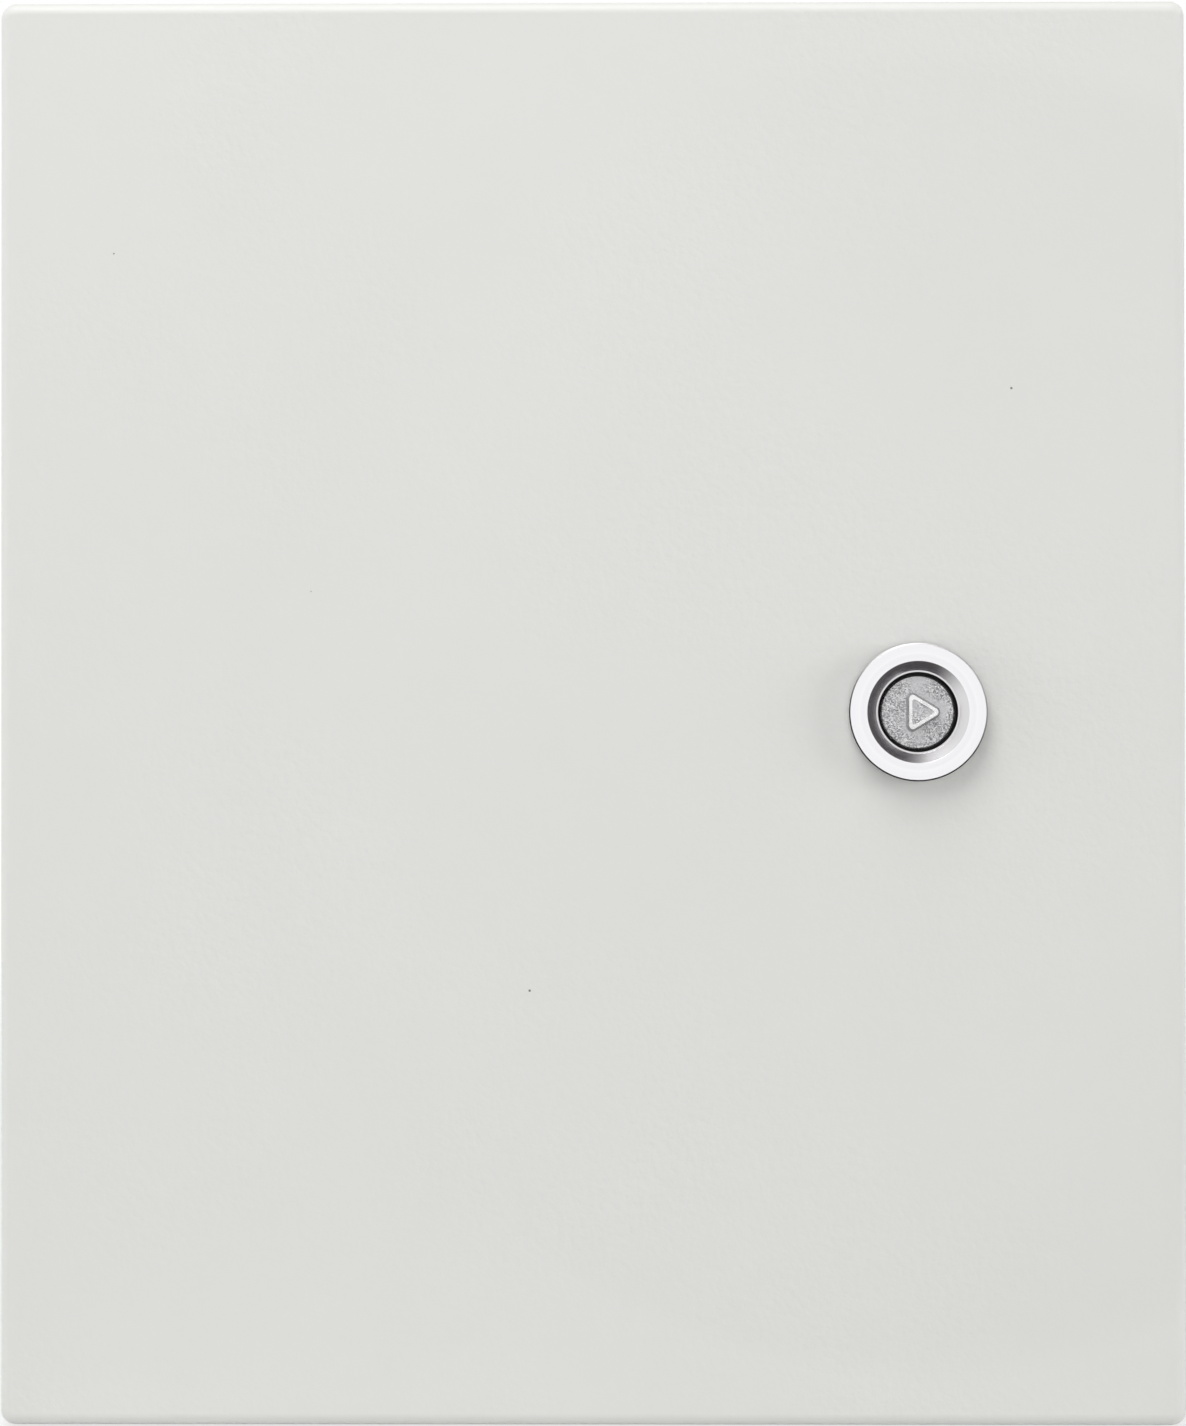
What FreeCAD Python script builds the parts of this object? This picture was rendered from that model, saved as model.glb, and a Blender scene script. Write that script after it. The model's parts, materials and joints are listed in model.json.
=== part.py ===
"""Steel wall enclosure with one hinged door and a quarter-turn lock.

The body is a folded and welded sheet-steel box: four walls whose front edge turns inward to a
shoulder and forward to a lip, which makes a rain gutter round the opening, and a rear pan that
closes the back. The door is a folded pan that covers the whole front. A foam bead inside it
seals on the lip, and two concealed hinges sit in the gutter on the left. The lock's cam swings
behind the shoulder on the right.

Frame, in millimetres: +X to the right and +Z up, seen from the front. The front faces -Y. The
origin is the centre of the four wall holes, on the rear face, so a place that lies "forward" by
some distance is at minus that distance along Y.
"""

import FreeCAD, Part
import math
import os

import Sketcher
from FreeCAD import Vector

doc = FreeCAD.newDocument("WallEnclosure")
sizes = doc.addObject("Spreadsheet::Sheet", "Sizes")

DRIVING_SIZES = [
    # the box as a whole
    ("width", 250, "over the side walls"),
    ("height", 300, "over the top and bottom walls"),
    ("depth", 150, "wall face to door face"),
    ("body_wall", 1.2, "sheet of the body"),
    ("door_wall", 1.2, "sheet of the door"),
    ("corner_radius", 3, "welded and ground corners, seen from the front"),
    ("bend_radius", 2.4, "outside of every fold"),
    # the rear pan and the gutter
    ("pan_depth", 12, "rear pan, front to back"),
    ("gutter_width", 18, "side wall's outer face to the lip's outer face"),
    ("lip_gap", 4.8, "lip's edge to the door's skin"),
    ("lip_corner_radius", 5, "lip's outer corners"),
    ("wall_hole_radius", 4.25, "holes for the wall screws"),
    ("wall_hole_inset", 20, "wall holes in from the body's sides"),
    # the door
    ("door_depth", 16, "door pan, front to back"),
    ("door_gap", 3.5, "door pan's back to the shoulder"),
    ("door_reveal", 0.5, "door smaller than the body, each side"),
    ("return_width", 8, "inward fold of the door's rim"),
    ("hinge_return", 3.5, "the same fold beside the hinges"),
    ("gasket_width", 9, "foam bead"),
    ("gasket_shoulder", 3.2, "height of the bead's straight sides"),
    ("gasket_corner_radius", 8, "middle line of the bead in the corners"),
    ("gasket_bite", 1, "how far the lip presses into the bead"),
    ("soft_clearance", 0.3, "lip to the floor of its groove in the bead"),
    # the hinges
    ("hinge_inset", 5, "hinge axis in from the door's side"),
    ("hinge_setback", 11, "hinge axis behind the door's face"),
    ("hinge_end", 55, "hinges' middles in from the body's top and bottom"),
    ("leaf_wall", 1.45, "sheet of the hinge leaves"),
    ("leaf_bend_radius", 2.5, "outside of the leaves' folds"),
    ("leaf_plate", 7, "door leaf's foot beyond the hinge axis"),
    ("leaf_reach", 6.5, "body leaf's foot behind the hinge axis"),
    ("leaf_foot_height", 34, "height of the body leaf's foot"),
    ("pin_radius", 2, "hinge pin"),
    ("pin_play", 0.05, "hinge pin in its knuckles"),
    ("pin_head_radius", 3.2, "head of the hinge pin"),
    ("pin_head_height", 1.4, "head of the hinge pin"),
    ("pin_tail", 3, "hinge pin below its lower knuckle"),
    ("pin_point", 0.7, "chamfer of the pin's end"),
    ("body_knuckle", 16, "middle knuckle"),
    ("door_knuckle", 10, "each outer knuckle"),
    ("knuckle_gap", 0.4, "between two knuckles"),
    ("roll_gap", 1, "open seam of a rolled knuckle"),
    # the lock's housing
    ("lock_backset", 56.8, "lock axis in from the body's right side"),
    ("lock_flange_radius", 14.5, "round head outside the door"),
    ("lock_flange_height", 4, "head's face in front of the door"),
    ("lock_edge", 0.3, "chamfers of the turned pieces"),
    ("lock_seal_radius", 14, "rubber ring under the head"),
    ("lock_seal_wall", 0.8, "rubber ring under the head"),
    ("lock_face_radius", 10.7, "inner edge of the head's flat face"),
    ("lock_cone_depth", 1.6, "depth of the dished part"),
    ("lock_cone_edge", 0.35, "flat edge at the foot of the dished part"),
    ("lock_head_seat", 3, "bore's floor behind the door's face"),
    ("lock_barrel_radius", 11, "threaded barrel"),
    ("lock_flats", 20.1, "across the barrel's flats"),
    ("lock_hole_play", 0.2, "barrel in the door's hole"),
    ("lock_nut_wall", 2.5, "nut's thinnest wall round the barrel"),
    ("lock_nut_height", 5.5, "nut"),
    ("lock_nut_play", 0.05, "nut round the barrel"),
    ("lock_washer_radius", 15.2, "toothed washer under the nut"),
    ("lock_washer_wall", 1, "toothed washer under the nut"),
    ("washer_notch", 1.6, "width and depth of that washer's notches"),
    ("washer_notches", 12, "round that washer's edge"),
    # the lock's core, stop washer and cam
    ("core_head_radius", 7.55, "core's head"),
    ("core_head_gap", 0.85, "core's head in its bore"),
    ("core_recess", 3.4, "core's face behind the head's face"),
    ("core_shaft_radius", 6, "core's shaft"),
    ("core_play", 0.05, "core's shaft in its bore"),
    ("triangle_height", 8.7, "key triangle at its foot, before rounding"),
    ("triangle_rise", 3, "key triangle above the core's face"),
    ("triangle_corner", 1.3, "rounding of the triangle's corners"),
    ("triangle_taper", 9, "draft of the triangle's sides, in degrees"),
    ("triangle_rim", 0.75, "rim round the triangle's sunk top"),
    ("triangle_sink", 0.35, "depth of the triangle's sunk top"),
    ("ring_groove_place", 8, "groove behind the door's face"),
    ("ring_groove_width", 2.2, "groove of the sealing ring"),
    ("ring_groove_depth", 1.6, "groove of the sealing ring"),
    ("ring_play", 0.1, "sealing ring in its groove and in the bore"),
    ("square", 7, "square that carries the cam"),
    ("square_play", 0.1, "square in its holes, over both sides"),
    ("square_short", 0.5, "square's end short of the cam's back"),
    ("stop_wall", 1.6, "stop washer"),
    ("stop_seat", 1.9, "stop washer's round part beyond the core's shaft"),
    ("stop_tab_length", 2, "tab beyond the stop washer's round part"),
    ("stop_tab_width", 4, "stop washer's tab"),
    ("stop_ledge_gap", 0.3, "stop washer's round part inside the ledge"),
    ("stop_ledge_wall", 2, "ledge that the tab runs against"),
    ("stop_ledge_height", 1.5, "ledge that the tab runs against"),
    ("stop_gap", 121, "gap in that ledge, in degrees"),
    ("stop_play", 0.1, "stop washer to the housing's end"),
    ("cam_clearance", 10.6, "cam's tip to the side wall, when locked"),
    ("cam_width", 18, "cam at the lock"),
    ("cam_tip_width", 13, "cam at its tip"),
    ("cam_wall", 3, "cam"),
    ("cam_tip_radius", 3, "cam's corners at its tip"),
    ("cam_lead", 1, "slope that leads the cam's tip behind the shoulder"),
    ("cam_gap", 1, "cam to the shoulder's back"),
    ("cam_screw_radius", 2.5, "screw that holds the cam"),
    ("cam_screw_length", 12, "that screw below its head"),
    ("cam_screw_across", 8, "that screw's head, across its flats"),
    ("cam_screw_head", 3.5, "that screw's head"),
    ("cam_washer_radius", 4.8, "spring washer under that head"),
    ("cam_washer_wall", 1.2, "spring washer under that head"),
    ("thread_play", 0.05, "screws and studs in their holes"),
    # the mounting plate
    ("plate_margin", 25, "mounting plate's edges in from the body's sides"),
    ("plate_wall", 2, "mounting plate"),
    ("plate_crop", 18, "cropped corners, which clear the wall screws"),
    ("plate_standoff", 12, "rear pan to the mounting plate"),
    ("plate_stud_inset", 20, "studs in from the plate's edges"),
    ("plate_stud_radius", 4, "welded studs"),
    ("plate_stud_length", 27, "welded studs"),
    ("plate_hole_play", 0.5, "studs in the plate's holes"),
    ("plate_sleeve_radius", 6.5, "distance sleeves"),
    ("plate_washer_radius", 8, "washers on the plate"),
    ("plate_washer_wall", 1.6, "washers on the plate"),
    ("plate_nut_across", 13, "nuts on the plate"),
    ("plate_nut_height", 6.5, "nuts on the plate"),
    # the gland plate in the bottom wall
    ("gland_side", 50, "cut-out in from the body's sides"),
    ("gland_front", 45, "cut-out behind the door's face"),
    ("gland_rear", 35, "cut-out forward of the wall face"),
    ("gland_corner_radius", 6, "cut-out's corners"),
    ("gland_overlap", 12, "gland plate beyond the cut-out"),
    ("gland_wall", 1.5, "gland plate"),
    ("gland_seal_wall", 2.5, "seal under the gland plate"),
    ("gland_seal_overlap", 1.5, "seal's inner edge outside the cut-out"),
    ("gland_stud_inset", 5, "studs in from the gland plate's edges"),
    ("gland_stud_radius", 2.5, "welded studs"),
    ("gland_stud_length", 13, "welded studs"),
    ("gland_hole_play", 0.3, "studs in the gland plate's holes"),
    ("gland_nut_across", 8, "nuts on the gland plate"),
    ("gland_nut_height", 4.7, "nuts on the gland plate"),
    # the earth terminals
    ("earth_stud_radius", 3, "welded studs"),
    ("earth_stud_length", 15, "welded studs"),
    ("earth_washer_radius", 6.4, "washers"),
    ("earth_washer_wall", 1.6, "washers"),
    ("earth_nut_across", 10, "nuts"),
    ("earth_nut_height", 5, "nuts"),
    ("body_earth_setback", 42, "body's terminal behind the door's face"),
    ("door_earth_inset", 15, "door's terminal in from the foam bead"),
    # finishing
    ("stud_chamfer", 0.5, "ends of the welded studs"),
    ("cut_margin", 1, "how far a cut runs past what it cuts"),
]

for row, (alias, number, note) in enumerate(DRIVING_SIZES, start=1):
    sizes.set(f"A{row}", note)
    sizes.set(f"B{row}", str(number))
    sizes.setAlias(f"B{row}", alias)
doc.recompute()

# Distances that several pieces share, as expressions on the sheet.
# Those named FORWARD are measured forward from the wall face.
HALF_WIDTH = "(Sizes.width / 2)"
HALF_HEIGHT = "(Sizes.height / 2)"
BEND = "min(Sizes.bend_radius; Sizes.corner_radius - 0.4)"
BODY_INNER_BEND = f"({BEND} - Sizes.body_wall)"
DOOR_INNER_BEND = f"({BEND} - Sizes.door_wall)"
SHOULDER_FORWARD = "(Sizes.depth - Sizes.door_depth - Sizes.door_gap)"
SHOULDER_BACK_FORWARD = f"({SHOULDER_FORWARD} - Sizes.body_wall)"
LIP_HALF_WIDTH = f"({HALF_WIDTH} - Sizes.gutter_width)"
LIP_HALF_HEIGHT = f"({HALF_HEIGHT} - Sizes.gutter_width)"
DOOR_HALF_WIDTH = f"({HALF_WIDTH} - Sizes.door_reveal)"
DOOR_HALF_HEIGHT = f"({HALF_HEIGHT} - Sizes.door_reveal)"
DOOR_BACK_FORWARD = "(Sizes.depth - Sizes.door_depth)"
DOOR_SKIN_FORWARD = "(Sizes.depth - Sizes.door_wall)"
LIP_EDGE_FORWARD = f"({DOOR_SKIN_FORWARD} - Sizes.lip_gap)"
LIP_LINE_WIDTH = f"({LIP_HALF_WIDTH} - Sizes.body_wall / 2)"
LIP_LINE_HEIGHT = f"({LIP_HALF_HEIGHT} - Sizes.body_wall / 2)"
HINGE_LEFT = f"({DOOR_HALF_WIDTH} - Sizes.hinge_inset)"
HINGE_FORWARD = "(Sizes.depth - Sizes.hinge_setback)"
HINGE_RISE = f"({HALF_HEIGHT} - Sizes.hinge_end)"
KNUCKLE_BORE = "(Sizes.pin_radius + Sizes.pin_play)"
KNUCKLE_RADIUS = f"({KNUCKLE_BORE} + Sizes.leaf_wall)"
HINGE_HEIGHT = "(Sizes.body_knuckle + 2 * Sizes.knuckle_gap + 2 * Sizes.door_knuckle)"
LOCK_RIGHT = f"({HALF_WIDTH} - Sizes.lock_backset)"
# Behind the door's outer face, along the lock's axis.
CAM_FRONT = f"(Sizes.depth - {SHOULDER_BACK_FORWARD} + Sizes.cam_gap)"
CAM_BACK = f"({CAM_FRONT} + Sizes.cam_wall)"
SQUARE_END = f"({CAM_BACK} - Sizes.square_short)"
STOP_FRONT = f"({CAM_FRONT} - Sizes.stop_wall)"
HOUSING_END = f"({STOP_FRONT} - Sizes.stop_play)"
LOCK_NUT_FRONT = "(Sizes.door_wall + Sizes.lock_washer_wall)"
LOCK_NUT_ACROSS = "(2 * Sizes.lock_barrel_radius + 2 * Sizes.lock_nut_wall)"
LOCK_HEAD_BORE = "(Sizes.core_head_radius + Sizes.core_head_gap)"
CORE_FACE = "(Sizes.core_recess - Sizes.lock_flange_height)"
CORE_BORE = "(Sizes.core_shaft_radius + Sizes.core_play)"
RING_GROOVE_RADIUS = "(Sizes.core_shaft_radius - Sizes.ring_groove_depth)"
STOP_RADIUS = "(Sizes.core_shaft_radius + Sizes.stop_seat)"
STOP_LEDGE_INNER = f"({STOP_RADIUS} + Sizes.stop_ledge_gap)"
STOP_LEDGE_OUTER = f"({STOP_LEDGE_INNER} + Sizes.stop_ledge_wall)"
CAM_LENGTH = "(Sizes.lock_backset - Sizes.body_wall - Sizes.cam_clearance)"
# The mounting plate's fixings.
PLATE_HALF_WIDTH = f"({HALF_WIDTH} - Sizes.plate_margin)"
PLATE_HALF_HEIGHT = f"({HALF_HEIGHT} - Sizes.plate_margin)"
PLATE_BACK_FORWARD = "(Sizes.body_wall + Sizes.plate_standoff)"
PLATE_FRONT_FORWARD = f"({PLATE_BACK_FORWARD} + Sizes.plate_wall)"
PLATE_NUT_FORWARD = f"({PLATE_FRONT_FORWARD} + Sizes.plate_washer_wall)"
PLATE_STUD_SIDE = f"({PLATE_HALF_WIDTH} - Sizes.plate_stud_inset)"
PLATE_STUD_RISE = f"({PLATE_HALF_HEIGHT} - Sizes.plate_stud_inset)"
# The gland plate, seen from above, and its heights above the bottom wall's inner face.
FLOOR = f"(Sizes.body_wall - {HALF_HEIGHT})"
GLAND_PLACE = "((Sizes.depth - Sizes.gland_front + Sizes.gland_rear) / 2)"
GLAND_HALF_WIDTH = f"({HALF_WIDTH} - Sizes.gland_side + Sizes.gland_overlap)"
GLAND_HALF_DEPTH = f"({GLAND_PLACE} - Sizes.gland_rear + Sizes.gland_overlap)"
GLAND_STUD_SIDE = f"({GLAND_HALF_WIDTH} - Sizes.gland_stud_inset)"
GLAND_STUD_STEP = f"({GLAND_HALF_DEPTH} - Sizes.gland_stud_inset)"
GLAND_NUT_RISE = "(Sizes.gland_seal_wall + Sizes.gland_wall)"
GLAND_HOLE_RADIUS = "(Sizes.gland_stud_radius + Sizes.gland_hole_play)"
# The earth terminals: the body's stands half-way between the gland plate and the left wall.
BODY_EARTH_LEFT = f"(({GLAND_HALF_WIDTH} + {HALF_WIDTH} - Sizes.body_wall) / 2)"
BODY_EARTH_FORWARD = "(Sizes.depth - Sizes.body_earth_setback)"
DOOR_EARTH_INSET = "(Sizes.gasket_width / 2 + Sizes.door_earth_inset)"
DOOR_EARTH_LEFT = f"({LIP_LINE_WIDTH} - {DOOR_EARTH_INSET})"
DOOR_EARTH_DROP = f"({LIP_LINE_HEIGHT} - {DOOR_EARTH_INSET})"

NODES = []
CORNER_SIGNS = [(-1, -1), (1, -1), (1, 1), (-1, 1)]
GLAND_STUD_PLACES = [(side, step) for step in (-1, 1) for side in (-1, 0, 1)]


def value(expression):
    """The number that an expression on the sheet gives."""
    return float(sizes.evalExpression(expression))


def new_body(label):
    """An empty body that becomes the sub-part of that name."""
    body = doc.addObject("PartDesign::Body", label)
    body.Label = label
    NODES.append(body)
    return body


def place(body, x, y, z):
    """Ties the body's place to three expressions."""
    for axis, expression in (("x", x), ("y", y), ("z", z)):
        body.setExpression(f".Placement.Base.{axis}", expression)


def sketch_on(body, role, offset="0"):
    """A sketch on one of the body's own planes, moved along its normal.

    On XZ_Plane the sketch's own axes are X and Z and its normal is forward.
    """
    sketch = body.newObject("Sketcher::SketchObject", f"{body.Label}_sketch")
    plane = next(item for item in body.Origin.OriginFeatures if item.Role == role)
    sketch.AttachmentSupport = [(plane, "")]
    sketch.MapMode = "FlatFace"
    sketch.setExpression("AttachmentOffset.Base.z", offset)
    return sketch


def bind(sketch, constraint, expression):
    """Adds a constraint and ties its value to the sheet."""
    index = sketch.addConstraint(constraint)
    sketch.setExpression(f"Constraints[{index}]", expression)


def fix_point(sketch, geometry, point, x, y):
    """Holds one point of a sketch at two expressions, measured from the sketch's origin."""
    bind(sketch, Sketcher.Constraint("DistanceX", -1, 1, geometry, point, value(x)), x)
    bind(sketch, Sketcher.Constraint("DistanceY", -1, 1, geometry, point, value(y)), y)


def join_ends(sketch, first, count):
    """Joins each of count edges, from first on, to the next, and the last to the first."""
    for step in range(count):
        following = first + (step + 1) % count
        sketch.addConstraint(Sketcher.Constraint("Coincident", first + step, 2, following, 1))


def polygon(sketch, corners):
    """A closed polygon whose corners are pairs of expressions."""
    points = [Vector(value(x), value(y), 0) for x, y in corners]
    first = sketch.GeometryCount
    for step, point in enumerate(points):
        sketch.addGeometry(Part.LineSegment(point, points[(step + 1) % len(points)]))
    join_ends(sketch, first, len(points))
    for step, (x, y) in enumerate(corners):
        fix_point(sketch, first + step, 1, x, y)


def rectangle(sketch, left, right, low, high):
    """A rectangle between four expressions."""
    polygon(sketch, [(left, low), (right, low), (right, high), (left, high)])


def centred_square(sketch, side):
    """A square about the sketch's origin."""
    rectangle(sketch, f"-{side} / 2", f"{side} / 2", f"-{side} / 2", f"{side} / 2")


def circle(sketch, x, y, radius):
    """A circle whose middle and radius are expressions."""
    middle = Vector(value(x), value(y), 0)
    index = sketch.addGeometry(Part.Circle(middle, Vector(0, 0, 1), value(radius)))
    fix_point(sketch, index, 3, x, y)
    bind(sketch, Sketcher.Constraint("Radius", index, value(radius)), radius)


def rounded_rectangle(sketch, left, right, low, high, radius):
    """A rectangle between four expressions, with equal arcs tangent to its sides."""
    x0, x1, y0, y1, r = (value(item) for item in (left, right, low, high, radius))
    first = sketch.GeometryCount
    corners = [(x1 - r, y0 + r, -90), (x1 - r, y1 - r, 0), (x0 + r, y1 - r, 90), (x0 + r, y0 + r, 180)]
    sides = [
        (Vector(x0 + r, y0, 0), Vector(x1 - r, y0, 0)),
        (Vector(x1, y0 + r, 0), Vector(x1, y1 - r, 0)),
        (Vector(x1 - r, y1, 0), Vector(x0 + r, y1, 0)),
        (Vector(x0, y1 - r, 0), Vector(x0, y0 + r, 0)),
    ]
    for (start, end), (x, y, angle) in zip(sides, corners):
        sketch.addGeometry(Part.LineSegment(start, end))
        round_corner = Part.Circle(Vector(x, y, 0), Vector(0, 0, 1), r)
        sketch.addGeometry(Part.ArcOfCircle(round_corner, math.radians(angle), math.radians(angle + 90)))
    for step in range(8):
        following = first + (step + 1) % 8
        sketch.addConstraint(Sketcher.Constraint("Tangent", first + step, 2, following, 1))
    for step, direction in ((0, "Horizontal"), (2, "Vertical"), (4, "Horizontal"), (6, "Vertical")):
        sketch.addConstraint(Sketcher.Constraint(direction, first + step))
    for arc in (3, 5, 7):
        sketch.addConstraint(Sketcher.Constraint("Equal", first + 1, first + arc))
    bind(sketch, Sketcher.Constraint("Radius", first + 1, r), radius)
    bind(sketch, Sketcher.Constraint("DistanceY", -1, 1, first, 1, y0), low)
    bind(sketch, Sketcher.Constraint("DistanceX", -1, 1, first + 2, 1, x1), right)
    bind(sketch, Sketcher.Constraint("DistanceY", -1, 1, first + 4, 1, y1), high)
    bind(sketch, Sketcher.Constraint("DistanceX", -1, 1, first + 6, 1, x0), left)


def centred_rectangle(sketch, half_width, half_height, radius):
    """A rounded rectangle about the sketch's origin."""
    rounded_rectangle(sketch, f"-{half_width}", half_width, f"-{half_height}", half_height, radius)


def flatted_circle(sketch, x, y, radius, across):
    """A circle with two level flats, above and below its middle."""
    reach = f"sqrt(({radius}) * ({radius}) - ({across}) * ({across}) / 4)"
    middle = Vector(value(x), value(y), 0)
    half, chord = value(across) / 2, value(reach)
    swing = math.atan2(half, chord)
    whole = Part.Circle(middle, Vector(0, 0, 1), value(radius))
    first = sketch.GeometryCount
    sketch.addGeometry(Part.LineSegment(middle + Vector(chord, half, 0), middle + Vector(-chord, half, 0)))
    sketch.addGeometry(Part.ArcOfCircle(whole, math.pi - swing, math.pi + swing))
    sketch.addGeometry(Part.LineSegment(middle + Vector(-chord, -half, 0), middle + Vector(chord, -half, 0)))
    sketch.addGeometry(Part.ArcOfCircle(whole, -swing, swing))
    join_ends(sketch, first, 4)
    fix_point(sketch, first, 1, f"{x} + {reach}", f"{y} + ({across}) / 2")
    fix_point(sketch, first, 2, f"{x} - {reach}", f"{y} + ({across}) / 2")
    fix_point(sketch, first + 2, 1, f"{x} - {reach}", f"{y} - ({across}) / 2")
    fix_point(sketch, first + 2, 2, f"{x} + {reach}", f"{y} - ({across}) / 2")
    for arc in (first + 1, first + 3):
        bind(sketch, Sketcher.Constraint("Radius", arc, value(radius)), radius)


def hexagon(sketch, x, y, across):
    """A hexagon with two upright flats, given its size across the flats."""
    corners = []
    for step in range(6):
        angle = math.radians(30 + 60 * step)
        out = f"{across} / 2 / {math.cos(math.radians(30)):.9f}"
        corners.append((f"{x} + {math.cos(angle):.9f} * {out}", f"{y} + {math.sin(angle):.9f} * {out}"))
    polygon(sketch, corners)


def new_feature(sketch, kind):
    """A feature that works on the sketch, in the sketch's own body."""
    body = sketch.getParentGeoFeatureGroup()
    feature = body.newObject(f"PartDesign::{kind}", f"{body.Label}_{kind.lower()}")
    feature.Profile = sketch
    sketch.Visibility = False
    return feature


def pad(sketch, length, backward=False, draft="0"):
    """Material from the sketch along its normal, or against it, with walls that draft leans in."""
    feature = new_feature(sketch, "Pad")
    feature.setExpression("Length", length)
    feature.Reversed = backward
    feature.setExpression("TaperAngle", f"-{draft}")
    doc.recompute()
    return feature


def pocket(sketch, length, forward=False):
    """Cuts from the sketch, against its normal or, if forward, along it."""
    feature = new_feature(sketch, "Pocket")
    feature.setExpression("Length", length)
    feature.Reversed = forward
    doc.recompute()
    if feature.Shape.Volume >= feature.BaseFeature.Shape.Volume:
        raise RuntimeError(f"{feature.Name} cuts nothing")
    return feature


def revolution(sketch):
    """The sketch turned once about its own upright axis."""
    feature = new_feature(sketch, "Revolution")
    feature.ReferenceAxis = (sketch, ["V_Axis"])
    feature.Angle = 360
    doc.recompute()
    return feature


def groove(sketch):
    """A cut turned once about the sketch's own upright axis."""
    feature = new_feature(sketch, "Groove")
    feature.ReferenceAxis = (sketch, ["V_Axis"])
    feature.Angle = 360
    doc.recompute()
    if feature.Shape.Volume >= feature.BaseFeature.Shape.Volume:
        raise RuntimeError(f"{feature.Name} cuts nothing")
    return feature


def edges_where(feature, test):
    """The names of the edges whose ends and middle all pass the test."""
    names = []
    for index, edge in enumerate(feature.Shape.Edges, start=1):
        middle = edge.valueAt((edge.FirstParameter + edge.LastParameter) / 2)
        if all(test(point) for point in [middle] + [vertex.Point for vertex in edge.Vertexes]):
            names.append(f"Edge{index}")
    return names


def forward_by(expression):
    """A test for points that lie that far forward of the body's origin."""
    level = -value(expression)
    return lambda point: abs(point.y - level) < 1e-4


def inside(test, half_width, half_height):
    """Narrows a test to points no further from the middle than these half sizes."""
    reach_x, reach_z = value(half_width) + 1e-4, value(half_height) + 1e-4
    return lambda point: test(point) and abs(point.x) < reach_x and abs(point.z) < reach_z


def dress(feature, kind, test, size):
    """A fillet or chamfer on the edges that pass the test."""
    body = feature.getParentGeoFeatureGroup()
    names = edges_where(feature, test)
    if not names:
        raise RuntimeError(f"{feature.Name} has no such edge to round")
    dressed = body.newObject(f"PartDesign::{kind}", f"{body.Label}_{kind.lower()}")
    dressed.Base = (feature, names)
    dressed.setExpression("Radius" if kind == "Fillet" else "Size", size)
    doc.recompute()
    return dressed


def make_body_wrapper():
    """Four walls in one strip, with the gutter that their front edge is folded to."""
    body = new_body("body_wrapper")
    outline = sketch_on(body, "XZ_Plane", "Sizes.pan_depth")
    centred_rectangle(outline, HALF_WIDTH, HALF_HEIGHT, "Sizes.corner_radius")
    block = pad(outline, f"{SHOULDER_FORWARD} - Sizes.pan_depth")
    dress(block, "Fillet", forward_by(SHOULDER_FORWARD), BEND)

    cavity = sketch_on(body, "XZ_Plane", "Sizes.pan_depth")
    centred_rectangle(
        cavity,
        f"({HALF_WIDTH} - Sizes.body_wall)",
        f"({HALF_HEIGHT} - Sizes.body_wall)",
        "Sizes.corner_radius - Sizes.body_wall",
    )
    hollow = pocket(cavity, f"{SHOULDER_BACK_FORWARD} - Sizes.pan_depth", forward=True)
    dress(hollow, "Fillet", forward_by(SHOULDER_BACK_FORWARD), BODY_INNER_BEND)

    mouth_sizes = (
        f"({LIP_HALF_WIDTH} - Sizes.body_wall)",
        f"({LIP_HALF_HEIGHT} - Sizes.body_wall)",
        "Sizes.lip_corner_radius - Sizes.body_wall",
    )
    mouth = sketch_on(body, "XZ_Plane", SHOULDER_BACK_FORWARD)
    centred_rectangle(mouth, *mouth_sizes)
    pocket(mouth, "Sizes.body_wall", forward=True)

    lip_ring = sketch_on(body, "XZ_Plane", SHOULDER_FORWARD)
    centred_rectangle(lip_ring, LIP_HALF_WIDTH, LIP_HALF_HEIGHT, "Sizes.lip_corner_radius")
    centred_rectangle(lip_ring, *mouth_sizes)
    lip = pad(lip_ring, f"{LIP_EDGE_FORWARD} - {SHOULDER_FORWARD}")
    root = dress(
        lip, "Fillet", inside(forward_by(SHOULDER_FORWARD), LIP_HALF_WIDTH, LIP_HALF_HEIGHT), BODY_INNER_BEND
    )
    dress(root, "Fillet", inside(forward_by(SHOULDER_BACK_FORWARD), LIP_HALF_WIDTH, LIP_HALF_HEIGHT), BEND)

    gland_hole = sketch_on(body, "XY_Plane", FLOOR)
    gland_outline(gland_hole, "0")
    pocket(gland_hole, "Sizes.body_wall")


def make_rear_pan():
    """The shallow pan that closes the back, with the four holes for the wall screws."""
    body = new_body("rear_pan")
    outline = sketch_on(body, "XZ_Plane")
    centred_rectangle(outline, HALF_WIDTH, HALF_HEIGHT, "Sizes.corner_radius")
    block = pad(outline, "Sizes.pan_depth")
    dress(block, "Fillet", forward_by("0"), BEND)
    cavity = sketch_on(body, "XZ_Plane", "Sizes.pan_depth")
    centred_rectangle(
        cavity,
        f"({HALF_WIDTH} - Sizes.body_wall)",
        f"({HALF_HEIGHT} - Sizes.body_wall)",
        "Sizes.corner_radius - Sizes.body_wall",
    )
    hollow = pocket(cavity, "Sizes.pan_depth - Sizes.body_wall")
    dress(hollow, "Fillet", forward_by("Sizes.body_wall"), BODY_INNER_BEND)
    holes = sketch_on(body, "XZ_Plane", "Sizes.body_wall")
    for x_sign, z_sign in CORNER_SIGNS:
        circle(
            holes,
            f"{x_sign} * ({HALF_WIDTH} - Sizes.wall_hole_inset)",
            f"{z_sign} * ({HALF_HEIGHT} - Sizes.wall_hole_inset)",
            "Sizes.wall_hole_radius",
        )
    pocket(holes, "Sizes.body_wall")


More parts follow.
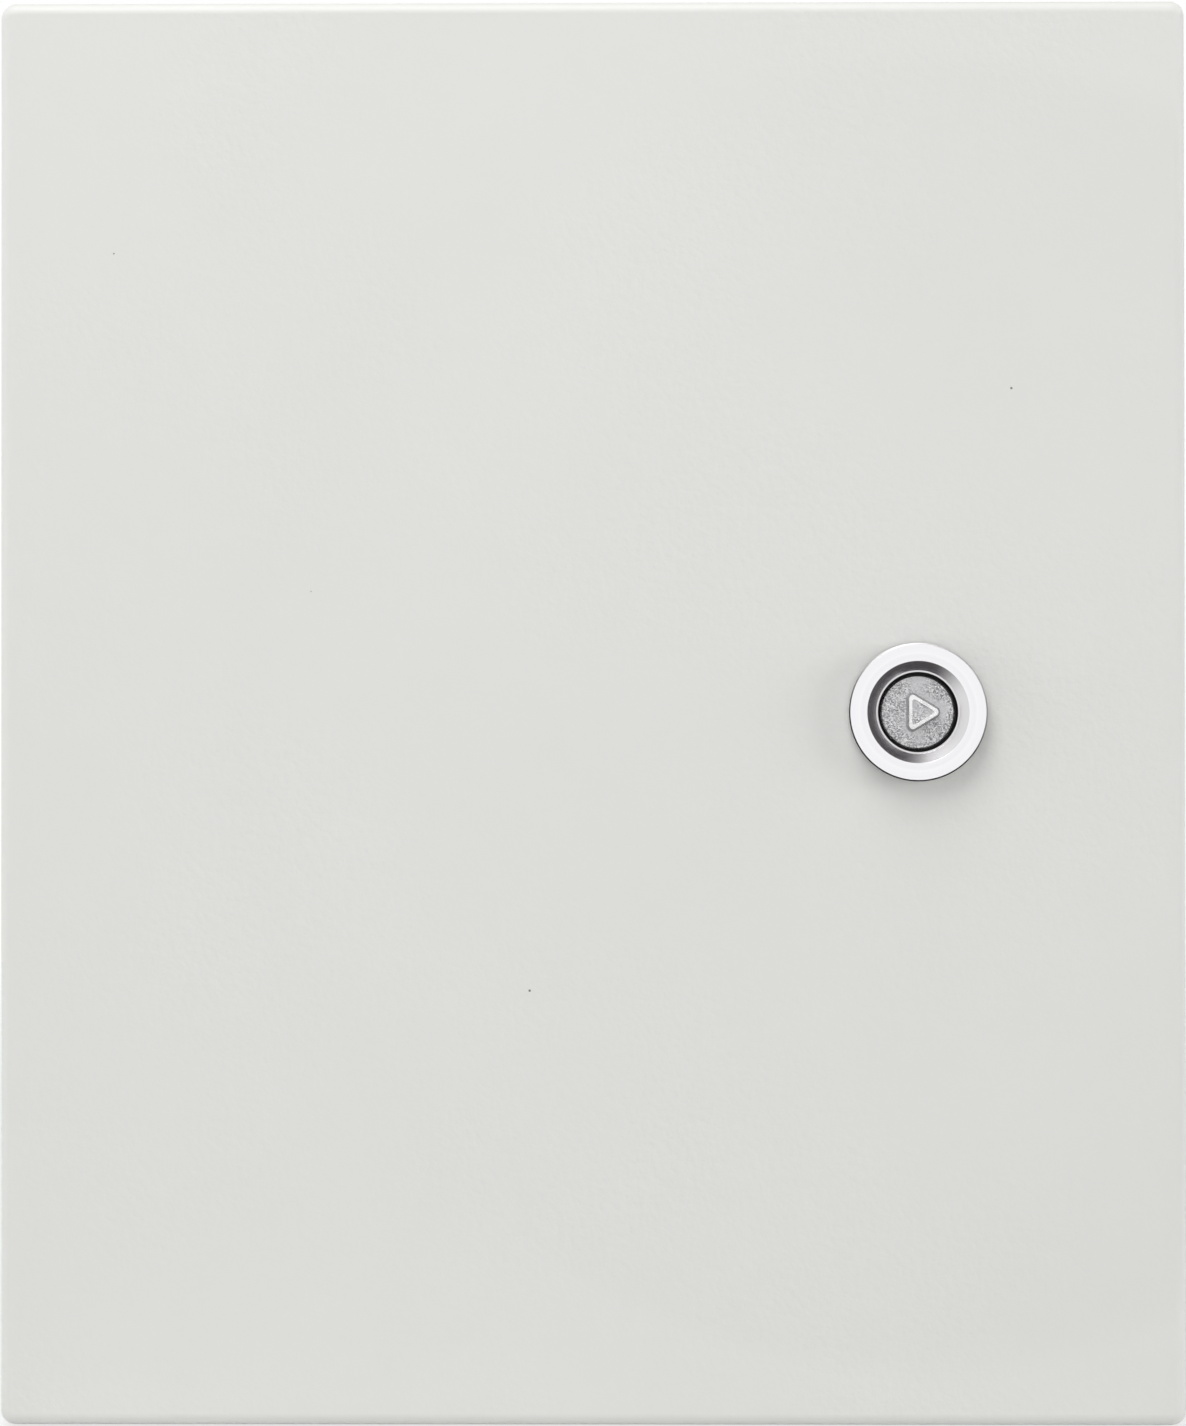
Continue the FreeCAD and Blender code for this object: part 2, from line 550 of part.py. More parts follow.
def make_door_panel():
    """The door pan: a skin, a rim folded back all round, and the rim's own inward fold."""
    body = new_body("door_panel")
    outline = sketch_on(body, "XZ_Plane", DOOR_BACK_FORWARD)
    centred_rectangle(outline, DOOR_HALF_WIDTH, DOOR_HALF_HEIGHT, "Sizes.corner_radius")
    block = pad(outline, "Sizes.door_depth")
    front = dress(block, "Fillet", forward_by("Sizes.depth"), BEND)
    dress(front, "Fillet", forward_by(DOOR_BACK_FORWARD), BEND)

    opening = sketch_on(body, "XZ_Plane", DOOR_BACK_FORWARD)
    rounded_rectangle(
        opening,
        f"Sizes.hinge_return - {DOOR_HALF_WIDTH}",
        f"{DOOR_HALF_WIDTH} - Sizes.return_width",
        f"Sizes.return_width - {DOOR_HALF_HEIGHT}",
        f"{DOOR_HALF_HEIGHT} - Sizes.return_width",
        "Sizes.bend_radius",
    )
    pocket(opening, "Sizes.door_wall", forward=True)

    cavity = sketch_on(body, "XZ_Plane", f"{DOOR_BACK_FORWARD} + Sizes.door_wall")
    centred_rectangle(
        cavity,
        f"({DOOR_HALF_WIDTH} - Sizes.door_wall)",
        f"({DOOR_HALF_HEIGHT} - Sizes.door_wall)",
        "Sizes.corner_radius - Sizes.door_wall",
    )
    hollow = pocket(cavity, "Sizes.door_depth - 2 * Sizes.door_wall", forward=True)
    skin = dress(hollow, "Fillet", forward_by(DOOR_SKIN_FORWARD), DOOR_INNER_BEND)
    fold = forward_by(f"{DOOR_BACK_FORWARD} + Sizes.door_wall")
    dress(skin, "Fillet", lambda point: fold(point) and on_rim(point), DOOR_INNER_BEND)

    lock_hole = sketch_on(body, "XZ_Plane", DOOR_SKIN_FORWARD)
    flatted_circle(
        lock_hole,
        LOCK_RIGHT,
        "0",
        "Sizes.lock_barrel_radius + Sizes.lock_hole_play",
        "Sizes.lock_flats + Sizes.lock_hole_play",
    )
    pocket(lock_hole, "Sizes.door_wall", forward=True)


def on_rim(point):
    """Whether a point lies on the inner face of the door's rim, seen from the front."""
    side = value(f"{DOOR_HALF_WIDTH} - Sizes.door_wall")
    rise = value(f"{DOOR_HALF_HEIGHT} - Sizes.door_wall")
    corner = value("Sizes.corner_radius - Sizes.door_wall")
    past_x, past_z = abs(point.x) - (side - corner), abs(point.z) - (rise - corner)
    if past_x > 0 and past_z > 0:
        return abs(math.hypot(past_x, past_z) - corner) < 1e-3
    return abs(max(past_x, past_z) - corner) < 1e-3


def make_door_gasket():
    """The foam bead on the door's skin, swept along the lip's line, with the lip's groove."""
    body = new_body("door_gasket")
    crown = f"({LIP_EDGE_FORWARD} - Sizes.gasket_bite)"
    shoulder = f"({DOOR_SKIN_FORWARD} - Sizes.gasket_shoulder)"

    path = sketch_on(body, "XZ_Plane", DOOR_SKIN_FORWARD)
    centred_rectangle(path, LIP_LINE_WIDTH, LIP_LINE_HEIGHT, "Sizes.gasket_corner_radius")
    section = sketch_on(body, "YZ_Plane")
    half = "Sizes.gasket_width / 2"
    rise = f"({shoulder} - {crown})"
    arc_radius = f"((({half}) * ({half}) + {rise} * {rise}) / 2 / {rise})"
    low, high = f"{LIP_LINE_HEIGHT} - {half}", f"{LIP_LINE_HEIGHT} + {half}"
    base, side = value(f"-{DOOR_SKIN_FORWARD}"), value(f"-{shoulder}")
    bottom, top = value(low), value(high)
    foot = [Vector(side, bottom, 0), Vector(base, bottom, 0), Vector(base, top, 0), Vector(side, top, 0)]
    for start, end in zip(foot, foot[1:]):
        section.addGeometry(Part.LineSegment(start, end))
    middle = Vector(value(f"-{crown}"), value(LIP_LINE_HEIGHT), 0)
    section.addGeometry(Part.Arc(Vector(side, top, 0), middle, Vector(side, bottom, 0)))
    section.addConstraint(Sketcher.Constraint("Coincident", 0, 2, 1, 1))
    section.addConstraint(Sketcher.Constraint("Coincident", 1, 2, 2, 1))
    fix_point(section, 0, 1, f"-{shoulder}", low)
    fix_point(section, 1, 1, f"-{DOOR_SKIN_FORWARD}", low)
    fix_point(section, 1, 2, f"-{DOOR_SKIN_FORWARD}", high)
    fix_point(section, 2, 2, f"-{shoulder}", high)
    arc_ends = (1, 2) if section.getPoint(3, 1).y < section.getPoint(3, 2).y else (2, 1)
    section.addConstraint(Sketcher.Constraint("Coincident", 0, 1, 3, arc_ends[0]))
    section.addConstraint(Sketcher.Constraint("Coincident", 2, 2, 3, arc_ends[1]))
    bind(section, Sketcher.Constraint("Radius", 3, value(arc_radius)), arc_radius)
    bead = new_feature(section, "AdditivePipe")
    bead.Spine = (path, [])
    path.Visibility = False
    doc.recompute()

    lip_path = sketch_on(body, "XZ_Plane", DOOR_SKIN_FORWARD)
    lip_radius = "Sizes.lip_corner_radius - Sizes.body_wall / 2"
    centred_rectangle(lip_path, LIP_LINE_WIDTH, LIP_LINE_HEIGHT, lip_radius)
    trough = sketch_on(body, "YZ_Plane")
    floor_y = f"-{LIP_EDGE_FORWARD} - Sizes.soft_clearance"
    mouth_y = f"-{crown} + Sizes.gasket_bite"
    narrow = "(Sizes.body_wall / 2 + Sizes.soft_clearance)"
    wide = f"({narrow} + 2 * Sizes.gasket_bite)"
    polygon(
        trough,
        [
            (floor_y, f"{LIP_LINE_HEIGHT} - {narrow}"),
            (floor_y, f"{LIP_LINE_HEIGHT} + {narrow}"),
            (mouth_y, f"{LIP_LINE_HEIGHT} + {wide}"),
            (mouth_y, f"{LIP_LINE_HEIGHT} - {wide}"),
        ],
    )
    groove_cut = new_feature(trough, "SubtractivePipe")
    groove_cut.Spine = (lip_path, [])
    lip_path.Visibility = False
    doc.recompute()
    if groove_cut.Shape.Volume >= bead.Shape.Volume:
        raise RuntimeError("the lip's groove cuts nothing")


def make_body_leaf(label, rise):
    """The body's hinge leaf: a foot on the lip's outer face, and a finger rolled round the pin."""
    body = new_body(label)
    to_lip = "(Sizes.gutter_width - Sizes.door_reveal - Sizes.hinge_inset)"
    foot = sketch_on(body, "XY_Plane", "-Sizes.leaf_foot_height / 2")
    rectangle(
        foot,
        f"{to_lip} - Sizes.leaf_wall",
        to_lip,
        f"Sizes.leaf_bend_radius - {KNUCKLE_RADIUS}",
        "Sizes.leaf_reach",
    )
    pad(foot, "Sizes.leaf_foot_height")
    finger = sketch_on(body, "XY_Plane", "-Sizes.body_knuckle / 2")
    polygon(
        finger,
        [
            ("0", f"-{KNUCKLE_RADIUS}"),
            (to_lip, f"-{KNUCKLE_RADIUS}"),
            (to_lip, "Sizes.leaf_reach"),
            (f"{to_lip} - Sizes.leaf_wall", "Sizes.leaf_reach"),
            (f"{to_lip} - Sizes.leaf_wall", f"-{KNUCKLE_BORE}"),
            ("0", f"-{KNUCKLE_BORE}"),
        ],
    )
    folded = pad(finger, "Sizes.body_knuckle")
    outer_x, outer_y = value(to_lip), -value(KNUCKLE_RADIUS)
    outer = dress(folded, "Fillet", corner_test(outer_x, outer_y), "Sizes.leaf_bend_radius")
    inner_x, inner_y = value(f"{to_lip} - Sizes.leaf_wall"), -value(KNUCKLE_BORE)
    dress(outer, "Fillet", corner_test(inner_x, inner_y), "Sizes.leaf_bend_radius - Sizes.leaf_wall")
    roll = sketch_on(body, "XY_Plane", "-Sizes.body_knuckle / 2")
    circle(roll, "0", "0", KNUCKLE_RADIUS)
    pad(roll, "Sizes.body_knuckle")
    bore = sketch_on(body, "XY_Plane", "Sizes.body_knuckle / 2")
    circle(bore, "0", "0", KNUCKLE_BORE)
    pocket(bore, "Sizes.body_knuckle")
    seam = sketch_on(body, "XY_Plane", "Sizes.body_knuckle / 2")
    rectangle(
        seam,
        "0",
        f"{KNUCKLE_RADIUS} + Sizes.cut_margin",
        f"-{KNUCKLE_BORE}",
        f"Sizes.roll_gap - {KNUCKLE_BORE}",
    )
    pocket(seam, "Sizes.body_knuckle")
    place(body, f"-{HINGE_LEFT}", f"-{HINGE_FORWARD}", rise)


def corner_test(x, y):
    """A test for points on the upright line through x and y."""
    return lambda point: abs(point.x - x) < 1e-4 and abs(point.y - y) < 1e-4


def make_door_leaf(label, rise):
    """The door's hinge leaf: a foot on the skin, and two fingers rolled round the pin."""
    body = new_body(label)
    to_skin = "(Sizes.hinge_setback - Sizes.door_wall)"
    outline = sketch_on(body, "XY_Plane", f"-{HINGE_HEIGHT} / 2")
    polygon(
        outline,
        [
            (f"-{KNUCKLE_RADIUS}", f"-{to_skin}"),
            ("Sizes.leaf_plate", f"-{to_skin}"),
            ("Sizes.leaf_plate", f"Sizes.leaf_wall - {to_skin}"),
            (f"-{KNUCKLE_BORE}", f"Sizes.leaf_wall - {to_skin}"),
            (f"-{KNUCKLE_BORE}", "0"),
            (f"-{KNUCKLE_RADIUS}", "0"),
        ],
    )
    folded = pad(outline, HINGE_HEIGHT)
    outer = dress(
        folded,
        "Fillet",
        corner_test(-value(KNUCKLE_RADIUS), -value(to_skin)),
        "Sizes.leaf_bend_radius",
    )
    dress(
        outer,
        "Fillet",
        corner_test(-value(KNUCKLE_BORE), value(f"Sizes.leaf_wall - {to_skin}")),
        "Sizes.leaf_bend_radius - Sizes.leaf_wall",
    )
    roll = sketch_on(body, "XY_Plane", f"-{HINGE_HEIGHT} / 2")
    circle(roll, "0", "0", KNUCKLE_RADIUS)
    pad(roll, HINGE_HEIGHT)
    bore = sketch_on(body, "XY_Plane", f"{HINGE_HEIGHT} / 2")
    circle(bore, "0", "0", KNUCKLE_BORE)
    pocket(bore, HINGE_HEIGHT)
    seam = sketch_on(body, "XY_Plane", f"{HINGE_HEIGHT} / 2")
    rectangle(
        seam,
        f"-{KNUCKLE_BORE}",
        f"Sizes.roll_gap - {KNUCKLE_BORE}",
        f"-{KNUCKLE_RADIUS} - Sizes.cut_margin",
        "0",
    )
    pocket(seam, HINGE_HEIGHT)
    notch = sketch_on(body, "XY_Plane", "Sizes.body_knuckle / 2 + Sizes.knuckle_gap")
    rectangle(
        notch,
        f"-{KNUCKLE_RADIUS} - Sizes.cut_margin",
        f"{KNUCKLE_RADIUS} + Sizes.cut_margin",
        f"Sizes.leaf_bend_radius - {to_skin}",
        f"{KNUCKLE_RADIUS} + Sizes.cut_margin",
    )
    pocket(notch, "Sizes.body_knuckle + 2 * Sizes.knuckle_gap")
    place(body, f"-{HINGE_LEFT}", f"-{HINGE_FORWARD}", rise)


def make_hinge_pin(label, rise):
    """A headed pin that drops through the knuckles from above."""
    body = new_body(label)
    profile = sketch_on(body, "XZ_Plane")
    top = f"{HINGE_HEIGHT} / 2"
    tip = f"-{HINGE_HEIGHT} / 2 - Sizes.pin_tail"
    polygon(
        profile,
        [
            ("0", tip),
            ("Sizes.pin_radius - Sizes.pin_point", tip),
            ("Sizes.pin_radius", f"{tip} + Sizes.pin_point"),
            ("Sizes.pin_radius", top),
            ("Sizes.pin_head_radius", top),
            ("Sizes.pin_head_radius", f"{top} + Sizes.pin_head_height / 2"),
            ("Sizes.pin_radius", f"{top} + Sizes.pin_head_height"),
            ("0", f"{top} + Sizes.pin_head_height"),
        ],
    )
    revolution(profile)
    place(body, f"-{HINGE_LEFT}", f"-{HINGE_FORWARD}", rise)


def lock_body(label):
    """A body on the lock's axis, whose Y starts at the door's outer face and runs backward."""
    body = new_body(label)
    place(body, LOCK_RIGHT, "-Sizes.depth", "0")
    return body


def make_lock_housing():
    """The turned head and barrel, with a dished face, and the ledge that stops the core."""
    body = lock_body("lock_housing")
    edge = "Sizes.lock_edge"
    cone_foot = "Sizes.lock_cone_depth - Sizes.lock_flange_height"
    profile = sketch_on(body, "XY_Plane")
    polygon(
        profile,
        [
            (CORE_BORE, "Sizes.lock_head_seat"),
            (LOCK_HEAD_BORE, "Sizes.lock_head_seat"),
            (LOCK_HEAD_BORE, cone_foot),
            (f"{LOCK_HEAD_BORE} + Sizes.lock_cone_edge", cone_foot),
            ("Sizes.lock_face_radius", "-Sizes.lock_flange_height"),
            (f"Sizes.lock_flange_radius - {edge}", "-Sizes.lock_flange_height"),
            ("Sizes.lock_flange_radius", f"{edge} - Sizes.lock_flange_height"),
            ("Sizes.lock_flange_radius", "-Sizes.lock_seal_wall"),
            ("Sizes.lock_barrel_radius", "-Sizes.lock_seal_wall"),
            ("Sizes.lock_barrel_radius", f"{HOUSING_END} - {edge}"),
            (f"Sizes.lock_barrel_radius - {edge}", HOUSING_END),
            (CORE_BORE, HOUSING_END),
        ],
    )
    revolution(profile)
    ledge = sketch_on(body, "XZ_Plane", f"-{HOUSING_END}")
    ledge_outline(ledge)
    pad(ledge, "Sizes.stop_ledge_height", backward=True)
    flats = sketch_on(body, "XZ_Plane")
    reach = "(Sizes.lock_barrel_radius + Sizes.cut_margin)"
    for sign in (-1, 1):
        near, far = f"{sign} * Sizes.lock_flats / 2", f"{sign} * {reach}"
        rectangle(flats, f"-{reach}", reach, near, far)
    pocket(flats, f"{HOUSING_END} + Sizes.stop_ledge_height")


def ledge_outline(sketch):
    """A ring sector: the gap is centred half-way between up and right, where the tab travels."""
    inner, outer = value(STOP_LEDGE_INNER), value(STOP_LEDGE_OUTER)
    ends = []
    for sign in (1, -1):
        ends.append(f"(45 + {sign} * Sizes.stop_gap / 2)")
    start, finish = (math.radians(value(end)) for end in ends)
    finish += 2 * math.pi
    sketch.addGeometry(Part.ArcOfCircle(Part.Circle(Vector(), Vector(0, 0, 1), outer), start, finish))
    sketch.addGeometry(Part.ArcOfCircle(Part.Circle(Vector(), Vector(0, 0, 1), inner), start, finish))
    points = []
    for end in ends:
        for radius in (STOP_LEDGE_OUTER, STOP_LEDGE_INNER):
            points.append((f"{radius} * cos({end} * 1 deg)", f"{radius} * sin({end} * 1 deg)"))
    for first, second in ((0, 1), (2, 3)):
        start_point = Vector(value(points[first][0]), value(points[first][1]), 0)
        end_point = Vector(value(points[second][0]), value(points[second][1]), 0)
        line = sketch.addGeometry(Part.LineSegment(start_point, end_point))
        fix_point(sketch, line, 1, *points[first])
        fix_point(sketch, line, 2, *points[second])
        arc_end = 1 if first == 0 else 2
        sketch.addConstraint(Sketcher.Constraint("Coincident", 0, arc_end, line, 1))
        sketch.addConstraint(Sketcher.Constraint("Coincident", 1, arc_end, line, 2))
    for arc, radius in ((0, STOP_LEDGE_OUTER), (1, STOP_LEDGE_INNER)):
        bind(sketch, Sketcher.Constraint("Radius", arc, value(radius)), radius)


def make_lock_seal():
    """The rubber ring between the lock's head and the door."""
    body = lock_body("lock_seal_ring")
    ring = sketch_on(body, "XZ_Plane")
    circle(ring, "0", "0", "Sizes.lock_seal_radius")
    circle(ring, "0", "0", "Sizes.lock_barrel_radius + Sizes.lock_nut_play")
    pad(ring, "Sizes.lock_seal_wall")


def make_lock_washer():
    """The toothed washer that bites into the paint inside the door."""
    body = lock_body("lock_washer")
    ring = sketch_on(body, "XZ_Plane", f"-{LOCK_NUT_FRONT}")
    circle(ring, "0", "0", "Sizes.lock_washer_radius")
    circle(ring, "0", "0", "Sizes.lock_barrel_radius + Sizes.lock_nut_play")
    pad(ring, "Sizes.lock_washer_wall")
    notch = sketch_on(body, "XZ_Plane", "-Sizes.door_wall")
    half = "Sizes.washer_notch / 2"
    rectangle(
        notch,
        f"-{half}",
        half,
        "Sizes.lock_washer_radius - Sizes.washer_notch",
        "Sizes.lock_washer_radius + Sizes.cut_margin",
    )
    first = pocket(notch, "Sizes.lock_washer_wall")
    teeth = body.newObject("PartDesign::PolarPattern", "lock_washer_teeth")
    teeth.Originals = [first]
    teeth.Axis = (notch, ["N_Axis"])
    teeth.Angle = 360
    teeth.setExpression("Occurrences", "Sizes.washer_notches")
    body.Tip = teeth
    doc.recompute()


def chamfer_hexagon(body, across, near, far):
    """Turns the corners of a hexagon that lies about the Y axis down, at both of its faces."""
    slope = math.tan(math.radians(30))
    outside = f"({across} / 2 / {math.cos(math.radians(30)):.9f} + Sizes.cut_margin)"
    for face, inward in ((near, 1), (far, -1)):
        wedge = sketch_on(body, "XY_Plane")
        drop = f"{inward} * {slope:.9f} * ({outside} - {across} / 2)"
        polygon(wedge, [(f"{across} / 2", face), (outside, face), (outside, f"{face} + {drop}")])
        groove(wedge)


def make_lock_nut():
    """The large hexagon nut that clamps the housing to the door."""
    body = lock_body("lock_nut")
    outline = sketch_on(body, "XZ_Plane", f"-{LOCK_NUT_FRONT} - Sizes.lock_nut_height")
    hexagon(outline, "0", "0", LOCK_NUT_ACROSS)
    circle(outline, "0", "0", "Sizes.lock_barrel_radius + Sizes.lock_nut_play")
    pad(outline, "Sizes.lock_nut_height")
    chamfer_hexagon(
        body, LOCK_NUT_ACROSS, LOCK_NUT_FRONT, f"({LOCK_NUT_FRONT} + Sizes.lock_nut_height)"
    )


def make_lock_core():
    """The turning core: a head with the key triangle, a grooved shaft and the cam's square."""
    body = lock_body("lock_core")
    edge = "Sizes.lock_edge"
    groove_end = "Sizes.ring_groove_place + Sizes.ring_groove_width"
    profile = sketch_on(body, "XY_Plane")
    polygon(
        profile,
        [
            ("0", CORE_FACE),
            (f"Sizes.core_head_radius - {edge}", CORE_FACE),
            ("Sizes.core_head_radius", f"{CORE_FACE} + {edge}"),
            ("Sizes.core_head_radius", "Sizes.lock_head_seat - Sizes.core_play"),
            ("Sizes.core_shaft_radius", "Sizes.lock_head_seat - Sizes.core_play"),
            ("Sizes.core_shaft_radius", "Sizes.ring_groove_place"),
            (RING_GROOVE_RADIUS, "Sizes.ring_groove_place"),
            (RING_GROOVE_RADIUS, groove_end),
            ("Sizes.core_shaft_radius", groove_end),
            ("Sizes.core_shaft_radius", STOP_FRONT),
            ("0", STOP_FRONT),
        ],
    )
    revolution(profile)
    square = sketch_on(body, "XZ_Plane", f"-{SQUARE_END}")
    centred_square(square, "Sizes.square")
    pad(square, f"{SQUARE_END} - {STOP_FRONT}")

    triangle = sketch_on(body, "XZ_Plane", f"-{CORE_FACE}")
    triangle_outline(triangle, "Sizes.triangle_height", "Sizes.triangle_corner")
    pad(triangle, "Sizes.triangle_rise", draft="Sizes.triangle_taper")
    lost = "Sizes.triangle_rise * tan(Sizes.triangle_taper * 1 deg)"
    top = sketch_on(body, "XZ_Plane", f"-{CORE_FACE} + Sizes.triangle_rise")
    triangle_outline(
        top,
        f"(Sizes.triangle_height - 3 * ({lost} + Sizes.triangle_rim))",
        "(Sizes.triangle_corner / 3)",
    )
    pocket(top, "Sizes.triangle_sink")

    tapped = sketch_on(body, "XZ_Plane", f"-{SQUARE_END}")
    circle(tapped, "0", "0", "Sizes.cam_screw_radius + Sizes.thread_play")
    pocket(tapped, "Sizes.cam_screw_length", forward=True)


def triangle_outline(sketch, height, corner):
    """An equal-sided triangle about the sketch's origin that points right, with rounded corners."""
    first = sketch.GeometryCount
    ends = []
    for turn in (0, 120, 240):
        tip_x, tip_y = f"2 * {height} / 3 * cos({turn} deg)", f"2 * {height} / 3 * sin({turn} deg)"
        for side in (150, 210):
            along = f"sqrt(3) * {corner}"
            x = f"{tip_x} + {along} * cos({turn + side} deg)"
            y = f"{tip_y} + {along} * sin({turn + side} deg)"
            ends.append((x, y))
        crown = Vector(value(f"2 * {height} / 3 - {corner}"), 0, 0)
        before, after = (Vector(value(x), value(y), 0) for x, y in (ends[-1], ends[-2]))
        spin = FreeCAD.Rotation(Vector(0, 0, 1), turn)
        sketch.addGeometry(Part.Arc(before, spin.multVec(crown), after))
    for step in range(3):
        start, end = ends[2 * step], ends[(2 * step + 3) % 6]
        points = [Vector(value(x), value(y), 0) for x, y in (start, end)]
        line = sketch.addGeometry(Part.LineSegment(*points))
        fix_point(sketch, line, 1, *start)
        fix_point(sketch, line, 2, *end)
        sketch.addConstraint(Sketcher.Constraint("Coincident", first + step, 2, line, 1))
        sketch.addConstraint(Sketcher.Constraint("Coincident", first + (step + 1) % 3, 1, line, 2))
        bind(sketch, Sketcher.Constraint("Radius", first + step, value(corner)), corner)


def make_core_ring():
    """The square-cut sealing ring in the core's groove."""
    body = lock_body("core_ring")
    far_side = "Sizes.ring_groove_place + Sizes.ring_groove_width - Sizes.ring_play"
    ring = sketch_on(body, "XZ_Plane", f"-({far_side})")
    circle(ring, "0", "0", f"{CORE_BORE} - Sizes.ring_play")
    circle(ring, "0", "0", f"{RING_GROOVE_RADIUS} + Sizes.ring_play")
    pad(ring, "Sizes.ring_groove_width - 2 * Sizes.ring_play")


def make_stop_washer():
    """The washer on the core's square, whose tab runs between the ends of the housing's ledge."""
    body = lock_body("stop_washer")
    disc = sketch_on(body, "XZ_Plane", f"-{CAM_FRONT}")
    circle(disc, "0", "0", STOP_RADIUS)
    pad(disc, "Sizes.stop_wall")
    tab = sketch_on(body, "XZ_Plane", f"-{CAM_FRONT}")
    reach = f"{STOP_RADIUS} + Sizes.stop_tab_length"
    rectangle(tab, "-Sizes.stop_tab_width / 2", "Sizes.stop_tab_width / 2", "0", reach)
    pad(tab, "Sizes.stop_wall")
    square_hole(body, STOP_FRONT, "Sizes.stop_wall")


def square_hole(body, front, depth):
    """Cuts the square hole of a piece that sits on the core's square."""
    hole = sketch_on(body, "XZ_Plane", f"-{front}")
    centred_square(hole, "(Sizes.square + Sizes.square_play)")
    pocket(hole, depth)


def make_cam():
    """The cam: a round hub and a tapering tongue, which points up while the lock is open."""
    body = lock_body("lock_cam")
    plane = f"-{CAM_BACK}"
    hub = sketch_on(body, "XZ_Plane", plane)
    circle(hub, "0", "0", "Sizes.cam_width / 2")
    pad(hub, "Sizes.cam_wall")
    tongue = sketch_on(body, "XZ_Plane", plane)
    polygon(
        tongue,
        [
            ("-Sizes.cam_width / 2", "0"),
            ("Sizes.cam_width / 2", "0"),
            ("Sizes.cam_tip_width / 2", CAM_LENGTH),
            ("-Sizes.cam_tip_width / 2", CAM_LENGTH),
        ],
    )
    arm = pad(tongue, "Sizes.cam_wall")
    tip = value(CAM_LENGTH)
    upright = value("Sizes.cam_tip_width / 2")
    rounded = dress(
        arm,
        "Fillet",
        lambda point: abs(point.z - tip) < 1e-4 and abs(abs(point.x) - upright) < 1e-4,
        "Sizes.cam_tip_radius",
    )
    front = forward_by(f"-{CAM_FRONT}")
    dress(rounded, "Chamfer", lambda point: front(point) and abs(point.z - tip) < 1e-4, "Sizes.cam_lead")
    square_hole(body, CAM_FRONT, "Sizes.cam_wall")


def make_cam_washer():
    """The spring washer under the cam screw's head."""
    body = lock_body("cam_washer")
    ring = sketch_on(body, "XZ_Plane", f"-{CAM_BACK} - Sizes.cam_washer_wall")
    circle(ring, "0", "0", "Sizes.cam_washer_radius")
    circle(ring, "0", "0", "Sizes.cam_screw_radius + Sizes.thread_play")
    pad(ring, "Sizes.cam_washer_wall")


def make_cam_screw():
    """The hexagon screw that holds the cam on the core."""
    body = lock_body("cam_screw")
    under_head = f"({CAM_BACK} + Sizes.cam_washer_wall)"
    head_end = f"({under_head} + Sizes.cam_screw_head)"
    head = sketch_on(body, "XZ_Plane", f"-{head_end}")
    hexagon(head, "0", "0", "Sizes.cam_screw_across")
    pad(head, "Sizes.cam_screw_head")
    chamfer_hexagon(body, "Sizes.cam_screw_across", under_head, head_end)
    shank = sketch_on(body, "XZ_Plane", f"-{under_head}")
    circle(shank, "0", "0", "Sizes.cam_screw_radius")
    pad(shank, "Sizes.cam_screw_length")


def make_mounting_plate():
    """The flat plate that carries the equipment, with cropped corners."""
    body = new_body("mounting_plate")
    outline = sketch_on(body, "XZ_Plane", PLATE_BACK_FORWARD)
    side, rise, crop = PLATE_HALF_WIDTH, PLATE_HALF_HEIGHT, "Sizes.plate_crop"
    polygon(
        outline,
        [
            (f"-{side}", f"-{rise} + {crop}"),
            (f"-{side} + {crop}", f"-{rise}"),
            (f"{side} - {crop}", f"-{rise}"),
            (side, f"-{rise} + {crop}"),
            (side, f"{rise} - {crop}"),
            (f"{side} - {crop}", rise),
            (f"-{side} + {crop}", rise),
            (f"-{side}", f"{rise} - {crop}"),
        ],
    )
    at_plate_studs(outline, "Sizes.plate_stud_radius + Sizes.plate_hole_play")
    pad(outline, "Sizes.plate_wall")


def at_plate_studs(sketch, radius):
    """A circle at each of the mounting plate's four studs."""
    for x_sign, z_sign in CORNER_SIGNS:
        circle(sketch, f"{x_sign} * {PLATE_STUD_SIDE}", f"{z_sign} * {PLATE_STUD_RISE}", radius)


def plate_rings(label, forward, radius, bore, length):
    """Four rings on the mounting plate's studs."""
    body = new_body(label)
    rings = sketch_on(body, "XZ_Plane", forward)
    at_plate_studs(rings, radius)
    at_plate_studs(rings, bore)
    pad(rings, length)


def make_plate_fixings():
    """Welded studs, distance sleeves, washers and nuts of the mounting plate."""
    studs = new_body("plate_studs")
    feet = sketch_on(studs, "XZ_Plane", "Sizes.body_wall")
    at_plate_studs(feet, "Sizes.plate_stud_radius")
    shanks = pad(feet, "Sizes.plate_stud_length")
    dress(shanks, "Chamfer", forward_by("Sizes.body_wall + Sizes.plate_stud_length"), "Sizes.stud_chamfer")
    bore = "Sizes.plate_stud_radius + Sizes.thread_play"
    sleeve = ("Sizes.plate_sleeve_radius", bore, "Sizes.plate_standoff")
    plate_rings("plate_sleeves", "Sizes.body_wall", *sleeve)
    washer = ("Sizes.plate_washer_radius", bore, "Sizes.plate_washer_wall")
    plate_rings("plate_washers", PLATE_FRONT_FORWARD, *washer)
    nuts = new_body("plate_nuts")
    outlines = sketch_on(nuts, "XZ_Plane", PLATE_NUT_FORWARD)
    for x_sign, z_sign in CORNER_SIGNS:
        x, z = f"{x_sign} * {PLATE_STUD_SIDE}", f"{z_sign} * {PLATE_STUD_RISE}"
        hexagon(outlines, x, z, "Sizes.plate_nut_across")
    at_plate_studs(outlines, bore)
    pad(outlines, "Sizes.plate_nut_height")


def at_gland_studs(sketch, radius):
    """A circle at each of the gland plate's six studs, seen from above."""
    for side, step in GLAND_STUD_PLACES:
        y = f"{step} * {GLAND_STUD_STEP} - {GLAND_PLACE}"
        circle(sketch, f"{side} * {GLAND_STUD_SIDE}", y, radius)


